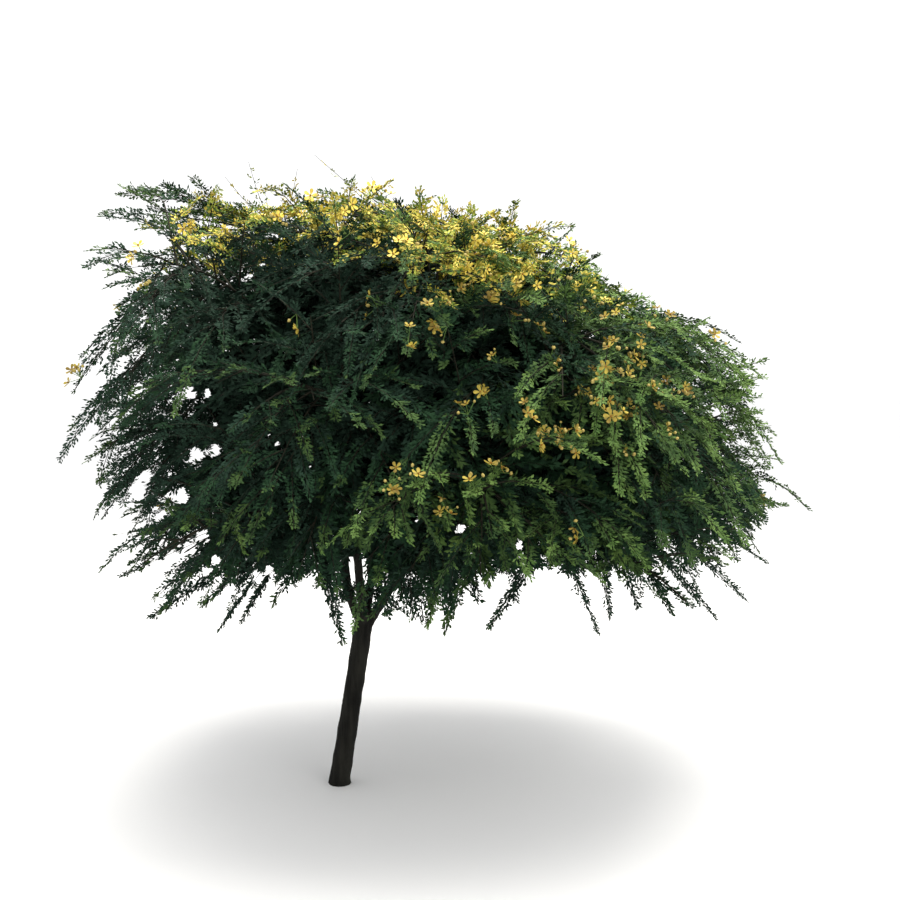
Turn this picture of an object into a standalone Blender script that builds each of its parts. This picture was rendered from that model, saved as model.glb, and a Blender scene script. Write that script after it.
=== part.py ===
"""Desert cassia: a small garden tree with a leaning trunk and a broad crown of arching, feathery sprays.

Metres, +Z up. The origin is the middle of the flat cut under the trunk, at ground level, and -Y is the front.
The trunk forks into leaders, the leaders carry boughs, and each leader and bough ends where a mass of
foliage begins. A mass is one stem with feathered twigs and a few blossoms fused on it, and it keeps to its
own cell of the crown. Each leaf tooth of a feathered twig stands for one plume of small leaves.
"""

import math
import random
from dataclasses import dataclass

import bmesh
import bpy
from mathutils import Matrix, Vector
from mathutils.geometry import interpolate_bezier, intersect_point_line

SEED = 11
GAP = 0.0003  # between solids that meet
GOLDEN_ANGLE = math.pi * (3 - math.sqrt(5))
DOWN = Vector((0, 0, -1))
STEEP = 0.9  # sine of the slope past which a way has no clear upward side
LEAST_SIDE = 0.15

# Trunk
FORK = Vector((0.083, 0.0, 0.545))  # where the leaders part, above and beside the foot
TRUNK_FOOT_RADIUS = 0.0315
TRUNK_TOP_RADIUS = 0.029
FLARE = 0.005  # added to the radius at the ground
FLARE_HEIGHT = 0.03
FOOT_CUT = 0.012  # the lowest stretch stands plumb, so that the cut under it is level
TRUNK_BOW = 0.006
TRUNK_STEPS = 12
STEP_EASE = 1.5  # more than 1 sets the trunk's rings closer together near the ground
SHOULDER_HEIGHT = 0.022  # the rounded top between the leaders
SHOULDER_RADIUS = 0.014

# Crown outline round a heart well above the fork: boxy on the left and below, sloping away on the right
HEART = Vector((0.33, 0.0, 1.0))
CROWN_HALF = Vector((1.06, 0.98, 0.86))
CROWN_UNDER = 0.42  # the outline's half height below the heart
LEFT_POWER = 4.4  # 2 is an ellipsoid, more is boxier and less is nearer a cone
RIGHT_POWER = 1.7

# Foliage masses, spread evenly over the outline
MASS_COUNT = 26
LOWEST_RISE = -0.40  # sine of the lowest mass's slope from the heart
FIRST_AZIMUTH = 0.6
TIP_SHARE = 0.44  # how far out a bough ends and its mass begins
END_SHARE = 0.86  # how far out a mass's stem ends
CELL_SHARE = 0.74  # how far out the middle of a mass's cell lies
CELL_MARGIN = 0.005
LIMB_MARGIN = 0.006
OUTLINE_MARGIN = 1.03
END_DROOP = 0.45
END_LEVELLING = 0.5  # how much of its rise a stem keeps at its end

# Leaders and boughs
LEADER_COUNT = 4
LEADER_AZIMUTH = math.radians(172)
LEADER_RISE = 0.86  # sine of the slope at which a leader leaves the fork
LEADER_DROP = 0.035  # leaders begin this far below the fork, inside the trunk
LEADER_SPREAD = 0.010
LEADER_RADII = (0.0155, 0.0058)
LEADER_SITE_RISE = 0.55  # sine of the slope at which the masses on the leaders' tips lie
RISE_COST = 2.0  # how much a mass's rise counts against its azimuth when a leader takes one
BOUGH_RADII = (0.0090, 0.0052)
BOUGH_SHARE = 0.8  # a bough is no thicker than this share of its leader
BRANCHINGS = [0.16 + 0.045 * i for i in range(16)]  # shares of a leader's length where a bough may leave it
TURN_COST = 1.6  # how much a bough that doubles back counts against a long one
LIMB_EASE = 0.36
STUB = 0.012  # limbs and stems run straight for this length where they meet face to face
LEADER_STEPS = 10
BOUGH_STEPS = 6
CUT_REACH = 0.004  # a limb that comes this near an earlier one is cut clear of it
TRUNK_ROUNDNESS, LEADER_ROUNDNESS, BOUGH_ROUNDNESS, STEM_ROUNDNESS = 4, 2, 0, 0

# Feathered twigs
STEM_STEPS = 3
STEM_TIP_RADIUS = 0.0022
SPRAYS_PER_MASS = 9
FIRST_SPRAY, LAST_SPRAY = 0.10, 0.97  # shares of a stem's length
SPRAY_SPREAD = math.radians(66)  # angle between a stem and a twig at the stem's foot
SPREAD_CLOSING = math.radians(32)  # how much smaller that angle is at the stem's end
SPREAD_SCATTER = math.radians(8)
TURN_SCATTER = 0.4
SPRAY_LENGTH = 0.48
SPRAY_SHORTENING = 0.25  # how much shorter twigs are at the stem's end
SPRAY_SCATTER = 0.1
SPRAY_WIDTH = 0.14  # from the rib to a leaf's tip, at the widest
SPRAY_TAPER = 0.40  # how much narrower the leaves are by the tip
SPRAY_BELLY = 0.22  # how much narrower they are at either end than in the middle
RIB_TAPER = 0.6
STALK_SHARE = 0.20  # bare part of a twig
STALK_WIDTH = 0.0035
RIB_HEIGHT = 0.0060
RIB_WIDTH = 0.28  # how far out the notches between leaves lie, as a share of the width
LEAVES_PER_SIDE = 4
LEAF_SWEEP = 1.6  # how far ahead of its root a leaf's tip lies, in leaf spacings
LEAF_DROOP = 0.35
SPRAY_DROOP = 2.6  # turn towards the ground, per metre
STEEP_RELIEF = 0.6  # how much less a twig turns where it already hangs
SPRAY_ROLL = 0.7
SHORTENINGS = (1.0, 0.93, 0.86, 0.79, 0.72, 0.66, 0.6, 0.55, 0.5)  # tried in turn until a twig fits

# Blossoms
BLOSSOMS_PER_MASS = 2
BLOSSOM_RISE = 0.0  # sine of the lowest slope from the heart at which a mass flowers
BLOSSOM_RADIUS = 0.030
BLOSSOM_HEIGHT = 0.045
PETALS = 5
PETAL_NOTCH = 0.42  # radius between two petals, as a share of the blossom's
PETAL_LIFT = 0.25  # how far below the rim that is, as a share of the height
BLOSSOM_STRETCH = (0.30, 0.75)  # shares of a stem's length between which it flowers
BLOSSOM_LEAN = 0.3
BLOSSOM_TURN = 1.2
MERGE = 1e-6


@dataclass
class Site:
    """Where one mass of foliage sits in the crown."""

    way: Vector
    tip: Vector
    tip_way: Vector
    end: Vector
    end_way: Vector
    cell: Vector


@dataclass
class Limb:
    """The centre line and radii of a trunk, leader or bough."""

    points: list
    radii: list

    def at(self, share):
        """Point and way at a share of the centre line."""
        place = share * (len(self.points) - 1)
        index = min(int(place), len(self.points) - 2)
        here, there = self.points[index], self.points[index + 1]
        return here.lerp(there, place - index), (there - here).normalized()

    def radius_at(self, share):
        """Radius at a share of the centre line."""
        place = share * (len(self.radii) - 1)
        index = min(int(place), len(self.radii) - 2)
        return self.radii[index] + (self.radii[index + 1] - self.radii[index]) * (place - index)


def clear_scene():
    """Removes what the file holds."""
    for thing in list(bpy.data.objects):
        bpy.data.objects.remove(thing)


def new_collection(name, shown=True):
    """A collection under the scene's own."""
    collection = bpy.data.collections.new(name)
    bpy.context.scene.collection.children.link(collection)
    collection.hide_render = not shown
    return collection


def material(name, colour, roughness):
    """A Principled material of one colour."""
    made = bpy.data.materials.new(name)
    made.use_nodes = True
    shader = made.node_tree.nodes["Principled BSDF"]
    shader.inputs["Base Color"].default_value = (*colour, 1)
    shader.inputs["Roughness"].default_value = roughness
    shader.inputs["Metallic"].default_value = 0
    made.diffuse_color = (*colour, 1)
    return made


def tube(name, limb, bevel_resolution, collection, grow=0.0):
    """A closed tube along a limb, as a mesh, with its radius grown where it is to be a cutter."""
    curve = bpy.data.curves.new(name, "CURVE")
    curve.dimensions = "3D"
    curve.bevel_depth = 1
    curve.bevel_resolution = bevel_resolution
    curve.use_fill_caps = True
    spline = curve.splines.new("POLY")
    spline.points.add(len(limb.points) - 1)
    for point, place, radius in zip(spline.points, limb.points, limb.radii):
        point.co = (*place, 1)
        point.radius = radius + grow
    guide = bpy.data.objects.new(name + "_line", curve)
    collection.objects.link(guide)
    bpy.context.view_layer.update()
    mesh = bpy.data.meshes.new_from_object(guide.evaluated_get(bpy.context.evaluated_depsgraph_get()))
    bpy.data.objects.remove(guide)
    bpy.data.curves.remove(curve)
    shape = bmesh.new()
    shape.from_mesh(mesh)
    bmesh.ops.remove_doubles(shape, verts=shape.verts, dist=MERGE)
    shape.to_mesh(mesh)
    shape.free()
    mesh.name = name
    made = bpy.data.objects.new(name, mesh)
    collection.objects.link(made)
    return made


def combine(made, others, operation):
    """Joins every object in a collection to a solid, or cuts them from it, and removes them."""
    modifier = made.modifiers.new("combine", "BOOLEAN")
    modifier.operation = operation
    modifier.operand_type = "COLLECTION"
    modifier.collection = others
    modifier.solver = "EXACT"
    bpy.context.view_layer.update()
    mesh = bpy.data.meshes.new_from_object(made.evaluated_get(bpy.context.evaluated_depsgraph_get()))
    made.modifiers.remove(modifier)
    made.data = mesh
    for other in list(others.objects):
        bpy.data.objects.remove(other)


def finish(made, finish_material):
    """Gives a solid its material, and smooth shading between its sharp edges."""
    made.data.materials.clear()
    made.data.materials.append(finish_material)
    made.data.shade_smooth()
    made.data.set_sharp_from_angle(angle=math.radians(40))


def crown_reach(way):
    """Distance from the crown's heart to its outline along a unit way."""
    leftness = 0.5 - 0.5 * way.x / math.hypot(way.x, way.y) if way.z > 0 else 1.0
    power = RIGHT_POWER + (LEFT_POWER - RIGHT_POWER) * leftness
    half_height = CROWN_HALF.z if way.z > 0 else CROWN_UNDER
    shares = (abs(way.x) / CROWN_HALF.x, abs(way.y) / CROWN_HALF.y, abs(way.z) / half_height)
    return sum(share**power for share in shares) ** (-1 / power)


def mass_sites():
    """The masses' places, on a golden spiral from the skirt of the crown to its top."""
    sites = []
    for index in range(MASS_COUNT):
        rise = LOWEST_RISE + (1 - LOWEST_RISE) * (index + 0.5) / MASS_COUNT
        level = math.sqrt(1 - rise * rise)
        azimuth = FIRST_AZIMUTH + index * GOLDEN_ANGLE
        way = Vector((level * math.cos(azimuth), level * math.sin(azimuth), rise))
        reach = crown_reach(way)
        sites.append(
            Site(
                way=way,
                tip=HEART + way * reach * TIP_SHARE,
                tip_way=way,
                end=HEART + way * reach * END_SHARE,
                end_way=Vector((way.x, way.y, way.z * END_LEVELLING - level * END_DROOP)).normalized(),
                cell=HEART + way * reach * CELL_SHARE,
            )
        )
    return sites


def eased_line(start, start_way, end, end_way, steps):
    """Points from start to end, leaving and arriving along two unit ways."""
    ease = (end - start).length * LIMB_EASE
    return interpolate_bezier(start, start + start_way * ease, end - end_way * ease, end, steps + 1)


def line_to_tip(start, start_way, site, steps):
    """Points from start to where a mass begins, the last stretch straight and in the way its stem goes on."""
    site.tip_way = (site.way + (site.tip - start).normalized()).normalized()
    elbow = site.tip - site.tip_way * STUB
    return [*eased_line(start, start_way, elbow, site.tip_way, steps), site.tip]


def tapered(points, radii):
    """A limb along these points, its radius running evenly from the first to the second of a pair."""
    last = len(points) - 1
    return Limb(points, [radii[0] + (radii[1] - radii[0]) * i / last for i in range(last + 1)])


def trunk_limb():
    """The trunk from its flat foot, through its flare, to the shoulder where it forks."""
    points, radii = [Vector((0, 0, 0))], [TRUNK_FOOT_RADIUS + FLARE]
    for step in range(TRUNK_STEPS + 1):
        share = (step / TRUNK_STEPS) ** STEP_EASE
        height = FOOT_CUT + (FORK.z - FOOT_CUT) * share
        bow = TRUNK_BOW * math.sin(math.pi * share)
        points.append(Vector((FORK.x * share, FORK.y + bow, height)))
        radius = TRUNK_FOOT_RADIUS + (TRUNK_TOP_RADIUS - TRUNK_FOOT_RADIUS) * share
        radii.append(radius + FLARE * math.exp(-height / FLARE_HEIGHT))
    lean = (points[-1] - points[-2]).normalized()
    points.append(points[-1] + lean * SHOULDER_HEIGHT)
    radii.append(SHOULDER_RADIUS)
    return Limb(points, radii)


def azimuth_from_fork(place):
    """The compass angle of a place seen from the fork."""
    return math.atan2(place.y - FORK.y, place.x - FORK.x)


def angle_between(first, second):
    """The smaller angle between two azimuths."""
    return abs((first - second + math.pi) % (2 * math.pi) - math.pi)


def leader_azimuths():
    """The azimuths at which the leaders part from the trunk."""
    return [LEADER_AZIMUTH + 2 * math.pi * i / LEADER_COUNT for i in range(LEADER_COUNT)]


def grow_leaders(sites):
    """For each leader, its limb and the index of the mass at its tip."""
    leaders, taken = [], set()
    for azimuth in leader_azimuths():
        free = [i for i in range(len(sites)) if i not in taken]
        own = min(
            free,
            key=lambda i: angle_between(azimuth_from_fork(sites[i].tip), azimuth)
            + RISE_COST * abs(sites[i].way.z - LEADER_SITE_RISE),
        )
        taken.add(own)
        level = math.sqrt(1 - LEADER_RISE**2)
        outward = Vector((math.cos(azimuth), math.sin(azimuth), 0))
        start = FORK + DOWN * LEADER_DROP + outward * LEADER_SPREAD
        start_way = outward * level - DOWN * LEADER_RISE
        points = line_to_tip(start, start_way, sites[own], LEADER_STEPS)
        leaders.append((tapered(points, LEADER_RADII), own))
    return leaders


def bough_origin(site, leaders, taken):
    """The leader and the share of its length from which a site's bough comes out shortest and straightest."""

    def cost(origin):
        start, along = leaders[origin[0]][0].at(origin[1])
        across = site.tip - start
        return across.length * (1 + TURN_COST * (1 - along.dot(across.normalized())))

    origins = [(rank, share) for rank in range(len(leaders)) for share in BRANCHINGS]
    return min((origin for origin in origins if origin not in taken), key=cost)


def grow_boughs(sites, leaders):
    """For each mass that no leader ends in, its bough's limb, keyed by the mass's index."""
    owned = {own for _, own in leaders}
    boughs, taken = {}, set()
    for index, site in enumerate(sites):
        if index in owned:
            continue
        origin = bough_origin(site, leaders, taken)
        taken.add(origin)
        leader, share = leaders[origin[0]][0], origin[1]
        start, along = leader.at(share)
        start_way = (along + (site.tip - start).normalized()).normalized()
        points = line_to_tip(start, start_way, site, BOUGH_STEPS)
        thick = min(BOUGH_RADII[0], BOUGH_SHARE * leader.radius_at(share))
        boughs[index] = tapered(points, (thick, BOUGH_RADII[1]))
    return boughs


def clear_of_limbs(place, limbs, needed):
    """Whether a place is this far from every limb's surface."""
    for limb in limbs:
        for i in range(len(limb.points) - 1):
            near, share = intersect_point_line(place, limb.points[i], limb.points[i + 1])
            share = min(max(share, 0.0), 1.0)
            near = limb.points[i].lerp(limb.points[i + 1], share)
            if (place - near).length < max(limb.radii[i], limb.radii[i + 1]) + needed:
                return False
    return True


def in_cell(place, own, sites):
    """Whether a place lies inside the crown's outline and nearer to its own cell than to any other."""
    out = place - HEART
    if out.length > OUTLINE_MARGIN * crown_reach(out.normalized()):
        return False
    for index, site in enumerate(sites):
        if index == own:
            continue
        between = site.cell - sites[own].cell
        middle = (site.cell + sites[own].cell) / 2
        if (place - middle).dot(between.normalized()) > -CELL_MARGIN:
            return False
    return True


@dataclass
class Spray:
    """The stations of a feathered twig: its rib, and the notches and leaf tips on both sides."""

    ridge: list
    left: list
    right: list
    left_tips: list
    right_tips: list
    tip: Vector

    def places(self):
        """Every corner, for the tests against the cell and the limbs."""
        return [*self.ridge[2:], *self.left_tips, *self.right_tips, self.tip]


def spray_stations(start, way, length, width, roll):
    """Works out a feathered twig that leaves start along a way and arches down under its own weight."""
    step = length * (1 - STALK_SHARE) / (LEAVES_PER_SIDE + 0.5)
    heading, place = way.normalized(), start.copy()
    side = heading.cross(DOWN)
    side = side.normalized() if side.length > LEAST_SIDE else Vector((1, 0, 0))
    side = Matrix.Rotation(roll, 3, heading) @ side
    made = Spray([], [], [], [], [], start)
    for index in range(-1, LEAVES_PER_SIDE + 1):
        share = max(index, 0) / LEAVES_PER_SIDE
        up = side.cross(heading).normalized()
        up = up if up.z >= 0 else -up
        thin = 1 - RIB_TAPER * share
        notch = STALK_WIDTH if index < 1 else width * RIB_WIDTH * thin
        made.ridge.append(place + up * RIB_HEIGHT * thin)
        made.left.append(place - side * notch - up * notch * LEAF_DROOP)
        made.right.append(place + side * notch - up * notch * LEAF_DROOP)
        if 0 <= index < LEAVES_PER_SIDE:
            belly = 1 - SPRAY_BELLY * (1 - math.sin(math.pi * share))
            stretch = width * belly * (1 - SPRAY_TAPER * share)
            ahead = place + heading * step * LEAF_SWEEP - up * stretch * LEAF_DROOP
            made.left_tips.append(ahead - side * stretch)
            made.right_tips.append(ahead + side * stretch)
        stride = length * STALK_SHARE if index < 0 else step
        place = place + heading * stride
        turn = SPRAY_DROOP * stride * (1 - STEEP_RELIEF * abs(heading.z))
        heading = (heading + DOWN * turn).normalized()
    made.tip = place - heading * step * 0.5
    return made


def spray_solid(name, spray, collection):
    """Lofts a feathered twig: a three-sided rib whose side edges run out into leaf teeth."""
    shape = bmesh.new()
    ridge, left, right, left_tips, right_tips = (
        [shape.verts.new(place) for place in row]
        for row in (spray.ridge, spray.left, spray.right, spray.left_tips, spray.right_tips)
    )
    tip = shape.verts.new(spray.tip)
    shape.faces.new((left[0], right[0], ridge[0]))
    for i in range(len(ridge) - 1):
        shape.faces.new((left[i], left[i + 1], right[i + 1], right[i]))
        for row, leaf_tips in ((left, left_tips), (right, right_tips)):
            near, far = row[i], row[i + 1]
            if i == 0:
                shape.faces.new((near, far, ridge[1], ridge[0]))
                continue
            leaf = leaf_tips[i - 1]
            shape.faces.new((near, far, leaf))
            shape.faces.new((near, leaf, ridge[i]))
            shape.faces.new((leaf, ridge[i + 1], ridge[i]))
            shape.faces.new((leaf, far, ridge[i + 1]))
    for corner, other in ((left[-1], right[-1]), (right[-1], ridge[-1]), (ridge[-1], left[-1])):
        shape.faces.new((corner, other, tip))
    bmesh.ops.triangulate(shape, faces=shape.faces)
    bmesh.ops.recalc_face_normals(shape, faces=shape.faces)
    mesh = bpy.data.meshes.new(name)
    shape.to_mesh(mesh)
    shape.free()
    collection.objects.link(bpy.data.objects.new(name, mesh))


def blossom_solid(name, foot, way, collection):
    """A five-petalled blossom: a shallow cone with its rim pulled in between the petals."""
    shape = bmesh.new()
    bmesh.ops.create_cone(
        shape, cap_ends=True, segments=2 * PETALS, radius1=0, radius2=BLOSSOM_RADIUS, depth=BLOSSOM_HEIGHT
    )
    bmesh.ops.remove_doubles(shape, verts=shape.verts, dist=MERGE)
    rim = [corner for corner in shape.verts if corner.co.z > 0]
    for corner in rim:
        petal = round(math.atan2(corner.co.y, corner.co.x) / (math.pi / PETALS)) % 2 == 0
        if not petal:
            corner.co.xy *= PETAL_NOTCH
            corner.co.z -= BLOSSOM_HEIGHT * PETAL_LIFT
    bmesh.ops.triangulate(shape, faces=shape.faces)
    bmesh.ops.translate(shape, verts=shape.verts, vec=(0, 0, BLOSSOM_HEIGHT / 2))
    turn = (-DOWN).rotation_difference(way)
    bmesh.ops.transform(shape, matrix=Matrix.Translation(foot) @ turn.to_matrix().to_4x4(), verts=shape.verts)
    mesh = bpy.data.meshes.new(name)
    shape.to_mesh(mesh)
    shape.free()
    collection.objects.link(bpy.data.objects.new(name, mesh))


def perpendicular(way, roll):
    """A unit vector square to a way, turned round it by a roll from the upward side."""
    base = -DOWN if abs(way.z) < STEEP else Vector((1, 0, 0))
    up = (base - way * base.dot(way)).normalized()
    return Matrix.Rotation(roll, 3, way) @ up


def grow_mass(name, own, sites, limbs, leaf, collection, workshop):
    """One mass: a stem from its bough's tip, with feathered twigs and blossoms fused on all round it."""
    site = sites[own]
    seeded = random.Random(SEED * 100 + own)
    foot = site.tip + site.tip_way * GAP
    line = eased_line(foot + site.tip_way * STUB, site.tip_way, site.end, site.end_way, STEM_STEPS)
    stem = tapered([foot, *line], (BOUGH_RADII[1], STEM_TIP_RADIUS))
    made = tube(name, stem, STEM_ROUNDNESS, collection)
    for index in range(SPRAYS_PER_MASS):
        last = index == SPRAYS_PER_MASS - 1
        place = 1.0 if last else (index + seeded.uniform(0, 0.5)) / SPRAYS_PER_MASS
        share = FIRST_SPRAY + (LAST_SPRAY - FIRST_SPRAY) * place
        start, along = stem.at(share)
        scatter = seeded.uniform(1 - SPRAY_SCATTER, 1 + SPRAY_SCATTER)
        length = SPRAY_LENGTH * (1 - SPRAY_SHORTENING * share) * scatter
        for shorter in SHORTENINGS:
            out = perpendicular(along, index * GOLDEN_ANGLE + seeded.uniform(-TURN_SCATTER, TURN_SCATTER))
            spread = SPRAY_SPREAD - SPREAD_CLOSING * share + seeded.uniform(-SPREAD_SCATTER, SPREAD_SCATTER)
            spread = 0.0 if last else spread
            roll = seeded.uniform(-SPRAY_ROLL, SPRAY_ROLL)
            way = along * math.cos(spread) + out * math.sin(spread)
            spray = spray_stations(start, way, length * shorter, SPRAY_WIDTH * shorter**0.5, roll)
            inside = all(in_cell(place, own, sites) for place in spray.places())
            if inside and all(clear_of_limbs(place, limbs, LIMB_MARGIN) for place in spray.places()):
                spray_solid(f"{name}_spray_{index}", spray, workshop)
                break
    for index in range(BLOSSOMS_PER_MASS if site.way.z > BLOSSOM_RISE else 0):
        place = (index + seeded.random()) / BLOSSOMS_PER_MASS
        start, along = stem.at(BLOSSOM_STRETCH[0] + (BLOSSOM_STRETCH[1] - BLOSSOM_STRETCH[0]) * place)
        out = perpendicular(along, seeded.uniform(-BLOSSOM_TURN, BLOSSOM_TURN))
        way = (out + along * BLOSSOM_LEAN).normalized()
        if in_cell(start + way * (BLOSSOM_HEIGHT + BLOSSOM_RADIUS), own, sites):
            blossom_solid(f"{name}_blossom_{index}", start, way, workshop)
    combine(made, workshop, "UNION")
    finish(made, leaf)


def build():
    """Builds the whole tree."""
    clear_scene()
    tree = new_collection("desert_cassia")
    workshop = new_collection("workshop")
    bark = material("bark", (0.055, 0.042, 0.032), 0.9)
    leaf = material("leaf", (0.045, 0.115, 0.035), 0.6)

    sites = mass_sites()
    trunk = trunk_limb()
    leaders = grow_leaders(sites)
    boughs = grow_boughs(sites, leaders)

    finish(tube("trunk", trunk, TRUNK_ROUNDNESS, tree), bark)
    wooden = [(f"leader_{i + 1}", limb, LEADER_ROUNDNESS) for i, (limb, _) in enumerate(leaders)]
    wooden += [(f"bough_{i + 1:02d}", boughs[own], BOUGH_ROUNDNESS) for i, own in enumerate(sorted(boughs))]
    earlier = [(trunk, TRUNK_ROUNDNESS)]
    for name, limb, roundness in wooden:
        made = tube(name, limb, roundness, tree)
        for index, (other, other_roundness) in enumerate(earlier):
            if not all(clear_of_limbs(place, [other], max(limb.radii) + CUT_REACH) for place in limb.points):
                tube(f"cutter_{index}", other, other_roundness, workshop, GAP)
        combine(made, workshop, "DIFFERENCE")
        finish(made, bark)
        earlier.append((limb, roundness))

    limbs = [trunk] + [limb for _, limb, _ in wooden]
    for own in range(MASS_COUNT):
        grow_mass(f"foliage_{own + 1:02d}", own, sites, limbs, leaf, tree, workshop)
    bpy.data.collections.remove(workshop)


build()
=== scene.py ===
"""Dresses the desert cassia: bark relief on its limbs, and a crown of arching plumes with golden blossom.

The tree's own rule is grown again here from the same named sizes: sites on the crown's outline, a forked
trunk, leaders, boughs, and one stem for each mass of foliage. From each stem the crown is carried on to finer
twigs and to plumes of small feathered leaves, about as far out as the solid masses that they replace.
"""

from __future__ import annotations

import logging
import math
import random
from dataclasses import dataclass, field, replace
from enum import Enum
from functools import reduce

import bmesh
import bpy
import numpy as np
from mathutils import Matrix, Vector, noise
from mathutils.geometry import interpolate_bezier

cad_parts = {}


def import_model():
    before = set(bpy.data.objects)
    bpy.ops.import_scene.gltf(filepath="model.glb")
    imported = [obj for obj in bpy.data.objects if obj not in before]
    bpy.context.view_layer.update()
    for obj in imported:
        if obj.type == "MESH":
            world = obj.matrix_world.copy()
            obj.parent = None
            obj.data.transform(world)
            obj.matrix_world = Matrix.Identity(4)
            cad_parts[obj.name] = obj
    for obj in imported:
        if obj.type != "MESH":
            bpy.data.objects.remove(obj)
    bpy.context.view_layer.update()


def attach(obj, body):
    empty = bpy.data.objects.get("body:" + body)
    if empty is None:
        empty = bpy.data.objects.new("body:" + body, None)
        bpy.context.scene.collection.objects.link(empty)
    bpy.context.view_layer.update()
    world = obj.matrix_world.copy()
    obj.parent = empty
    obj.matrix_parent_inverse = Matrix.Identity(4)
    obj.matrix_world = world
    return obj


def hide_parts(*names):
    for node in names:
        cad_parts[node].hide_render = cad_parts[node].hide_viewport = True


LOG = logging.getLogger("desert_cassia")

SEED = 23
GOLDEN_ANGLE = math.pi * (3 - math.sqrt(5))
DOWN = Vector((0, 0, -1))
UP_ROW = np.array([0.0, 0.0, 1.0])
TINY = 1e-9
STEEP = 0.9  # sine of the slope past which a way has no clear upward side
NEARLY_UPRIGHT = 0.1  # cosine of the slope past which a way has no clear level side
PIECE_LIMIT = 180_000  # triangles in one piece

Triple = tuple[float, float, float]  # a place, a way, a colour or a spot
Table = tuple[tuple[float, float], ...]
Shape = tuple[np.ndarray, np.ndarray]  # points and triangles


def unit(rows: np.ndarray) -> np.ndarray:
    """Scales each row to length one."""
    return rows / np.maximum(np.linalg.norm(rows, axis=-1, keepdims=True), TINY)


def square_to(rows: np.ndarray, ways: np.ndarray) -> np.ndarray:
    """The unit part of each row that is square to its way."""
    return unit(rows - ways * (rows * ways).sum(-1, keepdims=True))


def turned(rows: np.ndarray, others: np.ndarray, angles: np.ndarray) -> np.ndarray:
    """Turns each row towards a row square to it, by an angle in radians."""
    return rows * np.cos(angles)[..., None] + others * np.sin(angles)[..., None]


def hands(order: np.ndarray) -> np.ndarray:
    """Plus one for each even number and minus one for each odd number."""
    return np.where(order % 2 == 0, 1.0, -1.0)


def read_off(table: Table, at: np.ndarray) -> np.ndarray:
    """Reads a table of pairs at some places, evenly between its rows."""
    return np.interp(at, *zip(*table))


def near_one(chance: np.random.Generator, scatter: float, count: int) -> np.ndarray:
    """Numbers that lie about one."""
    return chance.uniform(1 - scatter, 1 + scatter, count)


# Finishes


@dataclass(frozen=True)
class Finish:
    """A procedural finish: two colours mixed by a noise, and a relief from a finer noise.

    Args:
        name: the material's name.
        dark: colour of the hollows or the older growth.
        light: colour of the rest.
        roughness: the shader's roughness.
        patch: how many patches of colour there are to a metre.
        grain: how many grains of relief there are to a metre.
        relief: strength of the relief.
        stretch: how much longer the grain is up the limb than across it.
        gloss: the shader's specular level.
        edges: the noise's values where the colour is wholly dark and wholly light.
        details: how many finer noises lie over the patches, and over the grains.
        depth: height of the relief in metres.
    """

    name: str
    dark: Triple
    light: Triple
    roughness: float = 0.6
    patch: float = 30.0
    grain: float = 400.0
    relief: float = 0.2
    stretch: float = 1.0
    gloss: float = 0.18
    edges: tuple[float, float] = (0.36, 0.64)
    details: tuple[float, float] = (4.0, 3.0)
    depth: float = 0.002

    @staticmethod
    def speckle(
        tree: bpy.types.NodeTree, place: bpy.types.NodeSocket, scale: float, detail: float
    ) -> bpy.types.NodeSocket:
        """Adds a noise.

        Args:
            tree: the material's nodes.
            place: where on the object the noise is read.
            scale: how many specks there are to a metre.
            detail: how many finer noises lie over it.

        Returns:
            The noise's value.
        """
        made = tree.nodes.new("ShaderNodeTexNoise")
        made.inputs["Scale"].default_value = scale
        made.inputs["Detail"].default_value = detail
        tree.links.new(place, made.inputs["Vector"])
        return made.outputs["Fac"]

    def make(self) -> bpy.types.Material:
        """Builds the material.

        Returns:
            The finished material.
        """
        made = bpy.data.materials.new(self.name)
        made.use_nodes = True
        nodes, links = made.node_tree.nodes, made.node_tree.links
        shader = nodes["Principled BSDF"]
        shader.inputs["Roughness"].default_value = self.roughness
        shader.inputs["Metallic"].default_value = 0.0
        shader.inputs["Specular IOR Level"].default_value = self.gloss
        where = nodes.new("ShaderNodeTexCoord")
        spread = nodes.new("ShaderNodeMapping")
        spread.inputs["Scale"].default_value = (1, 1, 1 / self.stretch)
        links.new(where.outputs["Object"], spread.inputs["Vector"])
        patches, grains = (
            self.speckle(made.node_tree, spread.outputs["Vector"], scale, detail)
            for scale, detail in zip((self.patch, self.grain), self.details)
        )
        ramp = nodes.new("ShaderNodeValToRGB")
        for end, position, colour in zip(ramp.color_ramp.elements, self.edges, (self.dark, self.light)):
            end.position = position
            end.color = (*colour, 1)
        links.new(patches, ramp.inputs["Fac"])
        links.new(ramp.outputs["Color"], shader.inputs["Base Color"])
        bump = nodes.new("ShaderNodeBump")
        bump.inputs["Strength"].default_value = self.relief
        bump.inputs["Distance"].default_value = self.depth
        links.new(grains, bump.inputs["Height"])
        links.new(bump.outputs["Normal"], shader.inputs["Normal"])
        made.diffuse_color = (*self.light, 1)
        return made


class Tint(Enum):
    """The greens that sprays are dealt: painted shade in the heart of the crown, greens painted lighter
    towards its outside, and painted sunlight in lime and gold on its cap.
    """

    DEEP = 0
    SHADE = 1
    MID = 2
    FRESH = 3
    LIME = 4
    GOLD = 5


# Painted light and shade in the leaf colours: the two darkest are painted shade for the crown's heart, the
# next two paint the light on its outside (the lightest is partly young growth too), and lime and gold are
# painted sunlight on its cap.
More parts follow.
